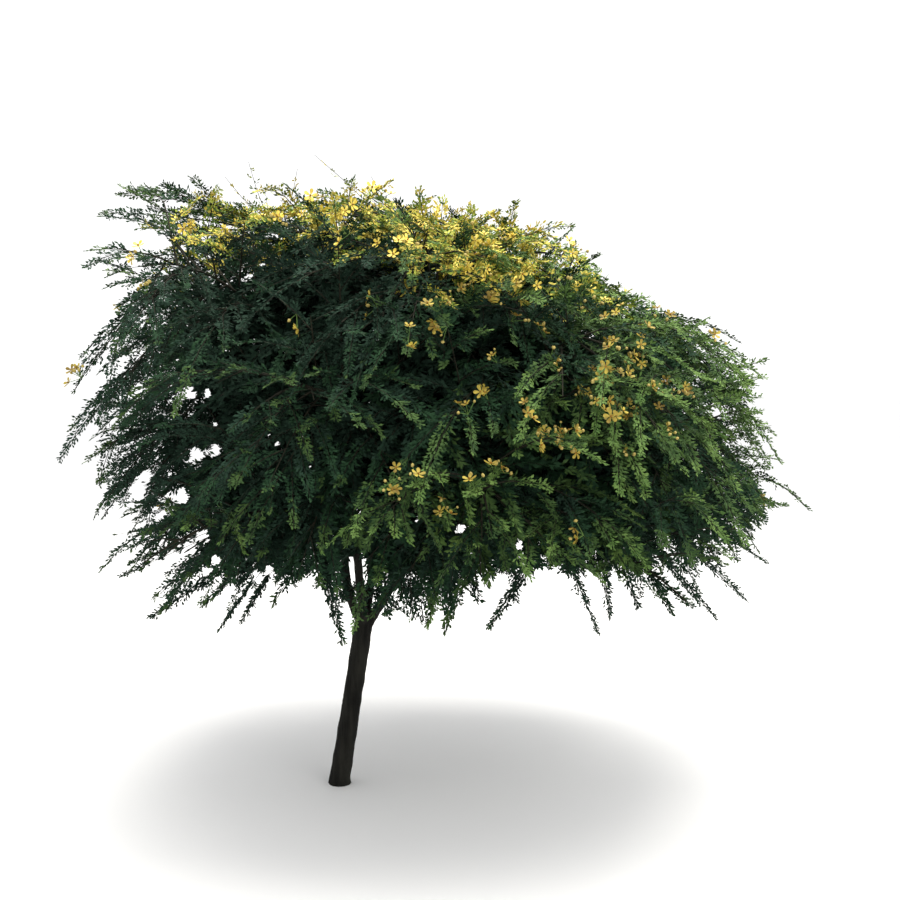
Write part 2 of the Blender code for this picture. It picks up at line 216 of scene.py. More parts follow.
LEAF_FINISHES = {
    Tint.DEEP: Finish("leaf_deep", (0.011, 0.024, 0.016), (0.019, 0.043, 0.027), 0.75, gloss=0.08),
    Tint.SHADE: Finish("leaf_shade", (0.008, 0.024, 0.012), (0.018, 0.048, 0.021), 0.68, gloss=0.08),
    Tint.MID: Finish("leaf_mid", (0.021, 0.047, 0.015), (0.054, 0.099, 0.028), 0.62, gloss=0.08),
    Tint.FRESH: Finish("leaf_fresh", (0.055, 0.110, 0.027), (0.116, 0.190, 0.050), 0.58, gloss=0.08),
    Tint.LIME: Finish("leaf_lime", (0.175, 0.225, 0.028), (0.350, 0.385, 0.060), 0.58, gloss=0.1),
    Tint.GOLD: Finish("leaf_gold", (0.360, 0.285, 0.035), (0.620, 0.520, 0.110), 0.58, gloss=0.1),
}
BARK = Finish("bark", (0.004, 0.004, 0.003), (0.015, 0.0145, 0.0115), 0.94, 45.0, 420.0, 0.9, 5.0)
TWIG = Finish("twig_bark", (0.008, 0.008, 0.005), (0.022, 0.021, 0.012), 0.8, 60.0, 500.0, 0.4)
# Lit and shaded copies of one petal colour: painted shade on the flowers below the crown's cap, painted
# sunlight on those in it.
SHADED_PETAL = Finish("petal_shaded", (0.150, 0.100, 0.016), (0.440, 0.350, 0.060), 0.5, 30.0, 600.0, 0.15)
SUNLIT_PETAL = Finish("petal_sunlit", (0.560, 0.400, 0.040), (0.800, 0.660, 0.150), 0.5, 120.0, 600.0, 0.15)
BUD = Finish("bud", (0.240, 0.185, 0.045), (0.400, 0.320, 0.100), 0.5, 120.0, 600.0, 0.1)
ANTHER = Finish("anther", (0.160, 0.075, 0.010), (0.300, 0.150, 0.020), 0.6, 200.0, 900.0, 0.1)


# Making pieces


def dressed(name: str, mesh: bpy.types.Mesh, finish: bpy.types.Material) -> bpy.types.Object:
    """Links a mesh to the scene as a piece that moves with the whole tree.

    Args:
        name: the piece's name.
        mesh: its mesh, in place.
        finish: its material.

    Returns:
        The piece.
    """
    mesh.materials.clear()
    mesh.materials.append(finish)
    piece = bpy.data.objects.new(name, mesh)
    bpy.context.scene.collection.objects.link(piece)
    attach(piece, "root")
    return piece


def joined_piece(name: str, shape: Shape, finish: bpy.types.Material) -> bpy.types.Object:
    """Makes one piece from many joined small shapes.

    Args:
        name: the piece's name.
        shape: its points and its triangles, one row each.
        finish: its material.

    Returns:
        The piece.
    """
    places, corners = shape
    mesh = bpy.data.meshes.new(name)
    mesh.vertices.add(len(places))
    mesh.vertices.foreach_set("co", places.astype(np.float32).ravel())
    mesh.loops.add(corners.size)
    mesh.loops.foreach_set("vertex_index", corners.astype(np.int32).ravel())
    mesh.polygons.add(len(corners))
    mesh.polygons.foreach_set("loop_start", np.arange(0, corners.size, 3, dtype=np.int32))
    mesh.update(calc_edges=True)
    return dressed(name, mesh, finish)


@dataclass
class Template:
    """A small shape that is repeated many times: its points in its own axes, and its triangles."""

    places: np.ndarray
    corners: np.ndarray

    @classmethod
    def from_bmesh(cls, shape: bmesh.types.BMesh) -> Template:
        """Reads a finished bmesh, as triangles, and frees it.

        Args:
            shape: the bmesh.

        Returns:
            The template.
        """
        bmesh.ops.triangulate(shape, faces=shape.faces)
        shape.verts.index_update()
        places = np.array([corner.co[:] for corner in shape.verts])
        corners = np.array([[corner.index for corner in face.verts] for face in shape.faces])
        shape.free()
        return cls(places, corners)

    def repeated(
        self,
        feet: np.ndarray,
        ahead: np.ndarray,
        across: np.ndarray,
        out: np.ndarray,
        sizes: np.ndarray,
        widths: np.ndarray | None = None,
    ) -> Shape:
        """Repeats the shape at many places.

        Args:
            feet: where each copy's origin goes.
            ahead: the way of each copy's first axis.
            across: the way of its second axis.
            out: the way of its third axis.
            sizes: the size of each copy.
            widths: its size across and out, where that differs.

        Returns:
            The points and the triangles of all the copies.
        """
        widths = sizes if widths is None else widths
        axes = np.stack([ahead, across, out], axis=1) * np.stack([sizes, widths, widths], axis=1)[:, :, None]
        places = feet[:, None, :] + np.einsum("vk,nkj->nvj", self.places, axes)
        shift = (np.arange(len(feet)) * len(self.places))[:, None, None]
        return places.reshape(-1, 3), (self.corners[None] + shift).reshape(-1, 3)


def joined(parts: list[Shape]) -> Shape:
    """Puts several sets of points and triangles into one.

    Args:
        parts: the sets.

    Returns:
        The points and the triangles of them all.
    """
    places, corners, start = [], [], 0
    for part_places, part_corners in parts:
        places.append(part_places)
        corners.append(part_corners + start)
        start += len(part_places)
    return np.concatenate(places), np.concatenate(corners)


def thin_tubes(lines: np.ndarray, radii: np.ndarray, sides: int) -> Shape:
    """Sweeps a tube along each of many lines of equal length.

    Args:
        lines: the lines' points, by line, station and axis.
        radii: the radius by line and station.
        sides: how many sides a tube has.

    Returns:
        The points and the triangles of all the tubes.
    """
    count, stations = lines.shape[:2]
    ways = unit(np.gradient(lines, axis=1))
    base = np.where(np.abs(ways[..., 2:]) < STEEP, UP_ROW, np.array([1.0, 0.0, 0.0]))
    first = square_to(base, ways)
    second = np.cross(ways, first)
    rings = []
    for side in range(sides):
        angle = 2 * math.pi * side / sides
        rings.append(lines + (first * math.cos(angle) + second * math.sin(angle)) * radii[..., None])
    places = np.stack(rings, axis=2).reshape(-1, 3)
    corners = []
    for station in range(stations - 1):
        for side in range(sides):
            near, far = station * sides + side, station * sides + (side + 1) % sides
            corners += [(near, far, far + sides), (near, far + sides, near + sides)]
    shift = (np.arange(count) * stations * sides)[:, None, None]
    return places, (np.array(corners)[None] + shift).reshape(-1, 3)


# The view


@dataclass(frozen=True)
class View:
    """Where the camera stands, what it looks at, and where its pixels fall in the trunk's upright plane."""

    eye: Triple = (0.348, -3.8, 1.368)
    aim: Triple = (0.348, 0.0, 1.055)
    lens: float = 49.4
    sensor: float = 36.0
    frame: int = 900  # pixels across and down
    foot: tuple[float, float] = (337.0, 785.0)  # column and row of the trunk's foot
    metre: float = 325.0  # pixels to a metre at the trunk

    def in_plane(self, column: float, row: float, radius: float) -> Triple:
        """Where a round spot of the view falls in the trunk's plane, to the millimetre.

        Args:
            column: how far across its middle is, in pixels.
            row: how far down its middle is.
            radius: its radius in pixels.

        Returns:
            Its middle, across and up, and its radius.
        """
        focal = self.lens / self.sensor * self.frame
        distance = self.aim[1] - self.eye[1]
        pitch = math.atan((self.eye[2] - self.aim[2]) / distance)
        drop = distance * math.tan(pitch + math.atan((row - self.frame / 2) / focal))
        ahead = distance * math.cos(pitch) + drop * math.sin(pitch)
        across = self.eye[0] + (column - self.frame / 2) * ahead / focal
        return round(across, 3), round(self.eye[2] - drop, 3), round(radius / self.metre, 3)

    def at_depth(self, column: float, row: float, depth: float) -> Triple:
        """Where a spot of the view falls at some depth, by the scale at the trunk, to the millimetre.

        Args:
            column: how far across it is, in pixels.
            row: how far down it is.
            depth: its place from front to back, in metres.

        Returns:
            Its place.
        """
        spread = (depth - self.eye[1]) / -self.eye[1]
        across = (column - self.foot[0]) / self.metre
        up = (self.foot[1] - row) / self.metre
        place = self.eye[0] + (across - self.eye[0]) * spread
        return round(place, 3), depth, round(self.eye[2] + (up - self.eye[2]) * spread, 3)

    def sighted(self, lines: np.ndarray) -> np.ndarray:
        """Where the sight through each point of each line meets the trunk's plane.

        Args:
            lines: the lines' points, by line, station and axis.

        Returns:
            The places in the plane, in the same order.
        """
        eye = np.array(self.eye)
        ahead = lines - eye
        return eye + ahead * (-eye[1] / ahead[..., 1])[..., None]


# The tree's own rule


@dataclass(frozen=True)
class Region:
    """A soft-edged region of the crown, round one way out from its heart."""

    towards: Triple
    tightness: float
    amount: float

    def at(self, ways: np.ndarray) -> np.ndarray:
        """What is left of its amount along each unit way."""
        return self.amount * np.clip(ways @ np.array(self.towards), 0, None) ** self.tightness


@dataclass(frozen=True)
class CrownShape:
    """The crown's outline round its heart: boxy on the left and below, sloping away on the right."""

    heart: Triple = (0.33, 0.0, 1.0)
    half_width: float = 1.06
    half_depth: float = 0.98
    half_height: float = 0.86
    under: float = 0.42
    under_right: float = 0.42
    left_power: float = 4.4
    right_power: float = 1.7
    under_power: float = 4.4
    swells: tuple[Triple, ...] = ()  # bearing and breadth in degrees, and share of the reach
    lumps: float = 0.0  # how far the outline swells and sinks between its masses, as a share of the reach
    lump_pitch: float = 2.7

    def reach(self, ways: np.ndarray) -> np.ndarray:
        """Distance from the heart to the outline.

        Args:
            ways: unit ways, one row each.

        Returns:
            The distance along each way.
        """
        above = ways[:, 2] > 0
        leftness = 0.5 - 0.5 * ways[:, 0] / np.maximum(np.hypot(ways[:, 0], ways[:, 1]), TINY)
        power = self.right_power + (self.left_power - self.right_power) * leftness
        power = np.where(above, power, self.under_power)
        under = self.under_right + (self.under - self.under_right) * leftness
        halves = np.tile([self.half_width, self.half_depth, self.half_height], (len(ways), 1))
        halves[:, 2] = np.where(above, self.half_height, under)
        shares = np.abs(ways) / halves
        reach = (shares ** power[:, None]).sum(axis=1) ** (-1 / power)
        bearing = np.degrees(np.arctan2(ways[:, 2], ways[:, 0]))
        sideways = ways[:, 0] ** 2 + ways[:, 2] ** 2
        for middle, breadth, share in self.swells:
            apart = (bearing - middle + 180) % 360 - 180
            reach = reach * (1 + share * sideways * np.exp(-((apart / breadth) ** 2)))
        if self.lumps:
            swell = np.array([noise.noise(Vector(way) * self.lump_pitch) for way in ways])
            reach = reach * (1 + self.lumps * swell * np.abs(ways[:, 1]))
        return reach

    def away(self, places: np.ndarray) -> np.ndarray:
        """The unit way from the heart to each place."""
        return unit(places - np.array(self.heart))

    def share(self, places: np.ndarray) -> np.ndarray:
        """How far out each place lies, from 0 at the heart to 1 on the outline."""
        return np.linalg.norm(places - np.array(self.heart), axis=1) / self.reach(self.away(places))


@dataclass
class Site:
    """Where one mass of foliage sits in the crown."""

    way: Vector
    tip: Vector
    tip_way: Vector
    end: Vector
    end_way: Vector


@dataclass
class Limb:
    """The centre line and radii of a limb, with a smoother line beside it for its bark."""

    points: list[Vector]
    radii: list[float]
    smooth: list[Vector] = field(default_factory=list)

    def at(self, share: float) -> tuple[Vector, Vector]:
        """Finds a place on the centre line.

        Args:
            share: how far along it the place is, from 0 to 1.

        Returns:
            The point and the unit way there.
        """
        place = share * (len(self.points) - 1)
        index = min(int(place), len(self.points) - 2)
        here, there = self.points[index], self.points[index + 1]
        return here.lerp(there, place - index), (there - here).normalized()

    def radius_at(self, share: float) -> float:
        """Finds the radius at a place on the centre line.

        Args:
            share: how far along it the place is, from 0 to 1.

        Returns:
            The radius.
        """
        place = share * (len(self.radii) - 1)
        index = min(int(place), len(self.radii) - 2)
        return self.radii[index] + (self.radii[index + 1] - self.radii[index]) * (place - index)


@dataclass
class Skeleton:
    """Grows the trunk, the leaders, the boughs and the masses' stems, as the solids were grown."""

    crown: CrownShape = CrownShape()
    fork: Triple = (0.083, 0.0, 0.545)
    foot_radius: float = 0.0315
    top_radius: float = 0.029
    flare: float = 0.005
    flare_height: float = 0.03
    foot_cut: float = 0.012
    bow: float = 0.006
    trunk_steps: int = 12
    step_ease: float = 1.5
    shoulder_height: float = 0.022
    shoulder_radius: float = 0.014
    mass_count: int = 26
    lowest_rise: float = -0.40
    first_azimuth: float = 0.6
    tip_share: float = 0.44
    end_share: float = 0.86
    end_droop: float = 0.45
    end_levelling: float = 0.5
    leader_count: int = 4
    leader_azimuth: float = math.radians(172)
    leader_rise: float = 0.86
    leader_drop: float = 0.035
    leader_spread: float = 0.010
    leader_radii: tuple[float, float] = (0.0155, 0.0058)
    leader_site_rise: float = 0.55
    rise_cost: float = 2.0
    bough_radii: tuple[float, float] = (0.0090, 0.0052)
    bough_share: float = 0.8
    first_bough: float = 0.16  # how far along a leader the first place for a bough is
    bough_spacing: float = 0.045
    bough_places: int = 16
    turn_cost: float = 1.6
    limb_ease: float = 0.36
    stub: float = 0.012
    leader_steps: int = 10
    bough_steps: int = 6
    stem_steps: int = 3
    stem_tip_radius: float = 0.0022
    fineness: int = 5  # how many steps of the smooth line there are to one of the solids'
    sites: list[Site] = field(default_factory=list)
    trunk: Limb | None = None
    leaders: list[tuple[Limb, int]] = field(default_factory=list)
    boughs: dict[int, Limb] = field(default_factory=dict)
    stems: list[Limb] = field(default_factory=list)

    def grow(self) -> Skeleton:
        """Grows every limb.

        Returns:
            The skeleton itself.
        """
        self.sites = self.mass_sites()
        self.trunk = self.trunk_limb()
        self.leaders = self.grow_leaders()
        self.boughs = self.grow_boughs()
        self.stems = [self.stem(site) for site in self.sites]
        return self

    def mass_sites(self) -> list[Site]:
        """Sets out the masses on a golden spiral from the skirt of the crown to its top.

        Returns:
            The site of each.
        """
        sites, heart = [], Vector(self.crown.heart)
        for index in range(self.mass_count):
            rise = self.lowest_rise + (1 - self.lowest_rise) * (index + 0.5) / self.mass_count
            level = math.sqrt(1 - rise * rise)
            azimuth = self.first_azimuth + index * GOLDEN_ANGLE
            way = Vector((level * math.cos(azimuth), level * math.sin(azimuth), rise))
            reach = float(self.crown.reach(np.array([way]))[0])
            tip, end = (heart + way * reach * share for share in (self.tip_share, self.end_share))
            end_way = Vector((way.x, way.y, way.z * self.end_levelling - level * self.end_droop))
            sites.append(Site(way, tip, way, end, end_way.normalized()))
        return sites

    def eased(
        self, start: Vector, start_way: Vector, end: Vector, end_way: Vector, steps: int
    ) -> list[Vector]:
        """Points from start to end, leaving and arriving along two unit ways."""
        ease = (end - start).length * self.limb_ease
        return interpolate_bezier(start, start + start_way * ease, end - end_way * ease, end, steps + 1)

    def limb_to_tip(
        self, start: Vector, start_way: Vector, site: Site, steps: int, radii: tuple[float, float]
    ) -> Limb:
        """Grows a limb to where a mass begins.

        Args:
            start: where the limb begins.
            start_way: the way in which it leaves.
            site: the mass at its tip, whose stem's way is settled here.
            steps: how many steps the solid has.
            radii: the radius at its foot and at its tip.

        Returns:
            The limb.
        """
        site.tip_way = (site.way + (site.tip - start).normalized()).normalized()
        elbow = site.tip - site.tip_way * self.stub
        points = [*self.eased(start, start_way, elbow, site.tip_way, steps), site.tip]
        smooth = [*self.eased(start, start_way, elbow, site.tip_way, steps * self.fineness), site.tip]
        return self.tapered(points, radii, smooth)

    @staticmethod
    def tapered(points: list[Vector], radii: tuple[float, float], smooth: list[Vector]) -> Limb:
        """A limb whose radius runs evenly from the first to the second of a pair."""
        last = len(points) - 1
        return Limb(points, [radii[0] + (radii[1] - radii[0]) * i / last for i in range(last + 1)], smooth)

    def trunk_limb(self) -> Limb:
        """Grows the trunk from its flat foot, through its flare, to the shoulder where it forks.

        Returns:
            The trunk.
        """
        fork, steps = Vector(self.fork), self.trunk_steps * self.fineness
        points, radii = [Vector((0, 0, 0))], [self.foot_radius + self.flare]
        for step in range(steps + 1):
            share = (step / steps) ** self.step_ease
            height = self.foot_cut + (fork.z - self.foot_cut) * share
            points.append(Vector((fork.x * share, fork.y + self.bow * math.sin(math.pi * share), height)))
            radius = self.foot_radius + (self.top_radius - self.foot_radius) * share
            radii.append(radius + self.flare * math.exp(-height / self.flare_height))
        lean = (points[-1] - points[-2]).normalized()
        points.append(points[-1] + lean * self.shoulder_height)
        radii.append(self.shoulder_radius)
        return Limb(points, radii, points)

    def azimuth_from_fork(self, place: Vector) -> float:
        """The compass angle of a place seen from the fork."""
        return math.atan2(place.y - self.fork[1], place.x - self.fork[0])

    def grow_leaders(self) -> list[tuple[Limb, int]]:
        """Grows the leaders, each towards the mass that suits its direction best.

        Returns:
            For each leader, its limb and the index of the mass at its tip.
        """
        leaders, taken = [], set()
        for rank in range(self.leader_count):
            azimuth = self.leader_azimuth + 2 * math.pi * rank / self.leader_count

            def cost(index: int, wanted: float = azimuth) -> float:
                """Judges how badly a mass's place suits a leader that sets out in the wanted direction.

                Args:
                    index: the mass.
                    wanted: the compass angle in which the leader sets out.

                Returns:
                    The cost.
                """
                turn = self.azimuth_from_fork(self.sites[index].tip) - wanted
                apart = abs((turn + math.pi) % (2 * math.pi) - math.pi)
                return apart + self.rise_cost * abs(self.sites[index].way.z - self.leader_site_rise)

            own = min((i for i in range(len(self.sites)) if i not in taken), key=cost)
            taken.add(own)
            level = math.sqrt(1 - self.leader_rise**2)
            outward = Vector((math.cos(azimuth), math.sin(azimuth), 0))
            start = Vector(self.fork) + DOWN * self.leader_drop + outward * self.leader_spread
            start_way = outward * level - DOWN * self.leader_rise
            limb = self.limb_to_tip(start, start_way, self.sites[own], self.leader_steps, self.leader_radii)
            leaders.append((limb, own))
        return leaders

    def grow_boughs(self) -> dict[int, Limb]:
        """Grows a bough to each mass that no leader ends in, from the leader where it runs straightest.

        Returns:
            The bough of each mass, by the mass's index.
        """
        owned = {own for _, own in self.leaders}
        shares = [self.first_bough + self.bough_spacing * i for i in range(self.bough_places)]
        boughs, taken = {}, set()
        for index, site in enumerate(self.sites):
            if index in owned:
                continue

            def cost(origin: tuple[int, float], wanted: Site = site) -> float:
                """Judges how long and how bent a bough from this origin would be.

                Args:
                    origin: a leader and how far along it the bough leaves.
                    wanted: the site that the bough goes to.

                Returns:
                    The cost.
                """
                start, along = self.leaders[origin[0]][0].at(origin[1])
                across = wanted.tip - start
                return across.length * (1 + self.turn_cost * (1 - along.dot(across.normalized())))

            origins = [(rank, share) for rank in range(len(self.leaders)) for share in shares]
            origin = min((o for o in origins if o not in taken), key=cost)
            taken.add(origin)
            leader, share = self.leaders[origin[0]][0], origin[1]
            start, along = leader.at(share)
            start_way = (along + (site.tip - start).normalized()).normalized()
            thick = min(self.bough_radii[0], self.bough_share * leader.radius_at(share))
            radii = (thick, self.bough_radii[1])
            boughs[index] = self.limb_to_tip(start, start_way, site, self.bough_steps, radii)
        return boughs

    def stem(self, site: Site) -> Limb:
        """Grows the stem of one mass, from its bough's tip to near the crown's outline.

        Args:
            site: the mass's site.

        Returns:
            The stem.
        """
        start = site.tip + site.tip_way * self.stub
        points = [site.tip, *self.eased(start, site.tip_way, site.end, site.end_way, self.stem_steps)]
        fine = self.stem_steps * self.fineness
        smooth = [site.tip, *self.eased(start, site.tip_way, site.end, site.end_way, fine)]
        return self.tapered(points, (self.bough_radii[1], self.stem_tip_radius), smooth)


# Wood


@dataclass
class Bark:
    """Trunk, leaders and boughs as grown wood: blended where they meet, furrowed and a little lumpy."""

    skeleton: Skeleton
    trunk_voxel: float = 0.0024
    bough_voxel: float = 0.0034
    roundness: int = 4
    collar: float = 0.25  # how much thicker a bough is where it leaves its leader
    collar_points: int = 6
    merging: float = 1e-6
    smoothing: int = 3
    smoothing_factor: float = 0.5
    furrows: float = 110.0  # furrows to a metre
    furrow_stretch: float = 9.0
    trunk_furrow: float = 0.0022
    bough_furrow: float = 0.0007
    fine_furrows: tuple[float, float] = (2.3, 0.5)  # how many to a furrow, and their depth beside its own
    rise: float = 0.35  # how far the ridges stand proud, as a share of a furrow's depth
    lumps: float = 26.0
    lump_share: float = 1.1
    flat_height: float = 0.0012  # below this a point of the foot lies on the ground

    def add_tube(self, limb: Limb, shape: bmesh.types.BMesh) -> None:
        """Adds a closed tube along a limb's smooth line.

        Args:
            limb: the limb.
            shape: the bmesh that the tube goes into.
        """
        curve = bpy.data.curves.new("limb", "CURVE")
        curve.dimensions = "3D"
        curve.bevel_depth = 1
        curve.bevel_resolution = self.roundness
        curve.use_fill_caps = True
        spline = curve.splines.new("POLY")
        spline.points.add(len(limb.smooth) - 1)
        for index, place in enumerate(limb.smooth):
            spline.points[index].co = (*place, 1)
            spline.points[index].radius = limb.radius_at(index / (len(limb.smooth) - 1))
        guide = bpy.data.objects.new("limb", curve)
        bpy.context.scene.collection.objects.link(guide)
        bpy.context.view_layer.update()
        mesh = bpy.data.meshes.new_from_object(guide.evaluated_get(bpy.context.evaluated_depsgraph_get()))
        shape.from_mesh(mesh)
        bpy.data.objects.remove(guide)
        bpy.data.curves.remove(curve)
        bpy.data.meshes.remove(mesh)

    def collared(self, limb: Limb) -> Limb:
        """Thickens a bough where it leaves its leader.

        Args:
            limb: the bough.

        Returns:
            The same bough with its swelling.
        """
        count = len(limb.smooth)
        radii = [limb.radius_at(index / (count - 1)) for index in range(count)]
        for index in range(self.collar_points):
            radii[index] *= 1 + self.collar * (1 - index / self.collar_points) ** 2
        return Limb(limb.smooth, radii, limb.smooth)

    def grown(self, name: str, limbs: list[Limb], voxel: float, furrow: float) -> bpy.types.Mesh:
        """Joins limbs into one skin and gives it the bark's relief.

        Args:
            name: the mesh's name.
            limbs: the limbs.
            voxel: size of the skin's faces.
            furrow: depth of the furrows.

        Returns:
            The mesh.
        """
        shape = bmesh.new()
        for limb in limbs:
            self.add_tube(limb, shape)
        bmesh.ops.remove_doubles(shape, verts=shape.verts, dist=self.merging)
        rough = bpy.data.objects.new(name, bpy.data.meshes.new(name))
        shape.to_mesh(rough.data)
        shape.free()
        bpy.context.scene.collection.objects.link(rough)
        skin = rough.modifiers.new("skin", "REMESH")
        skin.mode = "VOXEL"
        skin.voxel_size = voxel
        bpy.context.view_layer.update()
        mesh = bpy.data.meshes.new_from_object(rough.evaluated_get(bpy.context.evaluated_depsgraph_get()))
        bpy.data.objects.remove(rough)
        shape = bmesh.new()
        shape.from_mesh(mesh)
        axes = {f"use_axis_{axis}": True for axis in "xyz"}
        for _ in range(self.smoothing):
            bmesh.ops.smooth_vert(shape, verts=shape.verts, factor=self.smoothing_factor, **axes)
        shape.normal_update()
        pitch, share = self.fine_furrows
        for corner in shape.verts:
            place, out = corner.co.copy(), corner.normal
            fine = Vector((place.x, place.y, place.z / self.furrow_stretch)) * self.furrows
            depth = abs(noise.noise(fine)) + share * abs(noise.noise(fine * pitch))
            lump = noise.noise(place * self.lumps)
            corner.co += out * furrow * (self.rise - depth + self.lump_share * lump)
            if place.z < self.flat_height:
                corner.co.z = 0.0
            corner.co.z = max(corner.co.z, 0.0)
        bmesh.ops.recalc_face_normals(shape, faces=shape.faces)
        shape.to_mesh(mesh)
        shape.free()
        mesh.shade_smooth()
        return mesh

    def make(self) -> list[bpy.types.Object]:
        """Builds the wood.

        Returns:
            The trunk with its leaders, and the boughs.
        """
        tree = self.skeleton
        finish = BARK.make()
        leaders = [limb for limb, _ in tree.leaders]
        stout = self.grown("trunk_bark", [tree.trunk, *leaders], self.trunk_voxel, self.trunk_furrow)
        trunk = dressed("trunk_bark", stout, finish)
        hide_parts("trunk", *[f"leader_{rank + 1}" for rank in range(tree.leader_count)])
        boughs = [self.collared(limb) for limb in tree.boughs.values()]
        slim = self.grown("bough_bark", boughs, self.bough_voxel, self.bough_furrow)
        branches = dressed("bough_bark", slim, finish)
        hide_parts(*[f"bough_{index + 1:02d}" for index in range(len(boughs))])
        return [trunk, branches]


# Foliage


@dataclass
class Shoots:
    """Arching shoots of one order.

    Args:
        lines: the stations of each one's line.
        lengths: how long each is.
        limpness: how much the plumes on it arch.
        bareness: how much farther apart its leaves are than on a full plume.
    """

    lines: np.ndarray
    lengths: np.ndarray
    limpness: np.ndarray
    bareness: np.ndarray

    def at(self, rows: np.ndarray, shares: np.ndarray) -> tuple[np.ndarray, np.ndarray]:
        """Places and ways at shares of the lengths of some of the shoots.

        Args:
            rows: which shoot each place is on.
            shares: how far along it the place is.

        Returns:
            The places and the unit ways.
        """
        stations = self.lines.shape[1] - 1
        spot = np.clip(shares, 0, 1) * stations
        index = np.minimum(spot.astype(int), stations - 1)
        here, there = self.lines[rows, index], self.lines[rows, index + 1]
        return here + (there - here) * (spot - index)[:, None], unit(there - here)

    def picked(self, rows: np.ndarray) -> Shoots:
        """Only some of the shoots."""
        return Shoots(self.lines[rows], self.lengths[rows], self.limpness[rows], self.bareness[rows])

    def with_more(self, others: Shoots) -> Shoots:
        """These shoots and others of the same order."""
        pairs = zip(vars(self).values(), vars(others).values())
        return Shoots(*(np.concatenate(pair) for pair in pairs))


def arched(
    starts: np.ndarray,
    ways: np.ndarray,
    lengths: np.ndarray,
    droops: np.ndarray,
    stations: int,
    relief: float,
) -> np.ndarray:
    """Lines that leave their starts along unit ways and turn towards the ground under their own weight.

    Args:
        starts: where each line begins.
        ways: the way in which it sets out.
        lengths: how long it is.
        droops: its turn towards the ground, per metre.
        stations: how many points it has.
        relief: how much less it turns where it already hangs.

    Returns:
        The points, by line and station.
    """
    stride = (lengths / (stations - 1))[:, None]
    lines = np.empty((len(starts), stations, 3))
    place, heading = starts.copy(), ways.copy()
    for station in range(stations):
        lines[:, station] = place
        place = place + heading * stride
        turn = droops[:, None] * stride * (1 - relief * np.abs(heading[:, 2:]))
        heading = unit(heading - UP_ROW * turn)
    return lines


def frames(ways: np.ndarray) -> tuple[np.ndarray, np.ndarray]:
    """Finds the sides of each way.

    Args:
        ways: unit ways, one row each.

    Returns:
        A level way and an upward way square to each.
    """
    level = np.cross(ways, UP_ROW)
    steep = np.linalg.norm(level, axis=1) < NEARLY_UPRIGHT
    level[steep] = np.cross(ways[steep], np.array([1.0, 0.0, 0.0]))
    level = unit(level)
    return level, np.cross(level, ways)


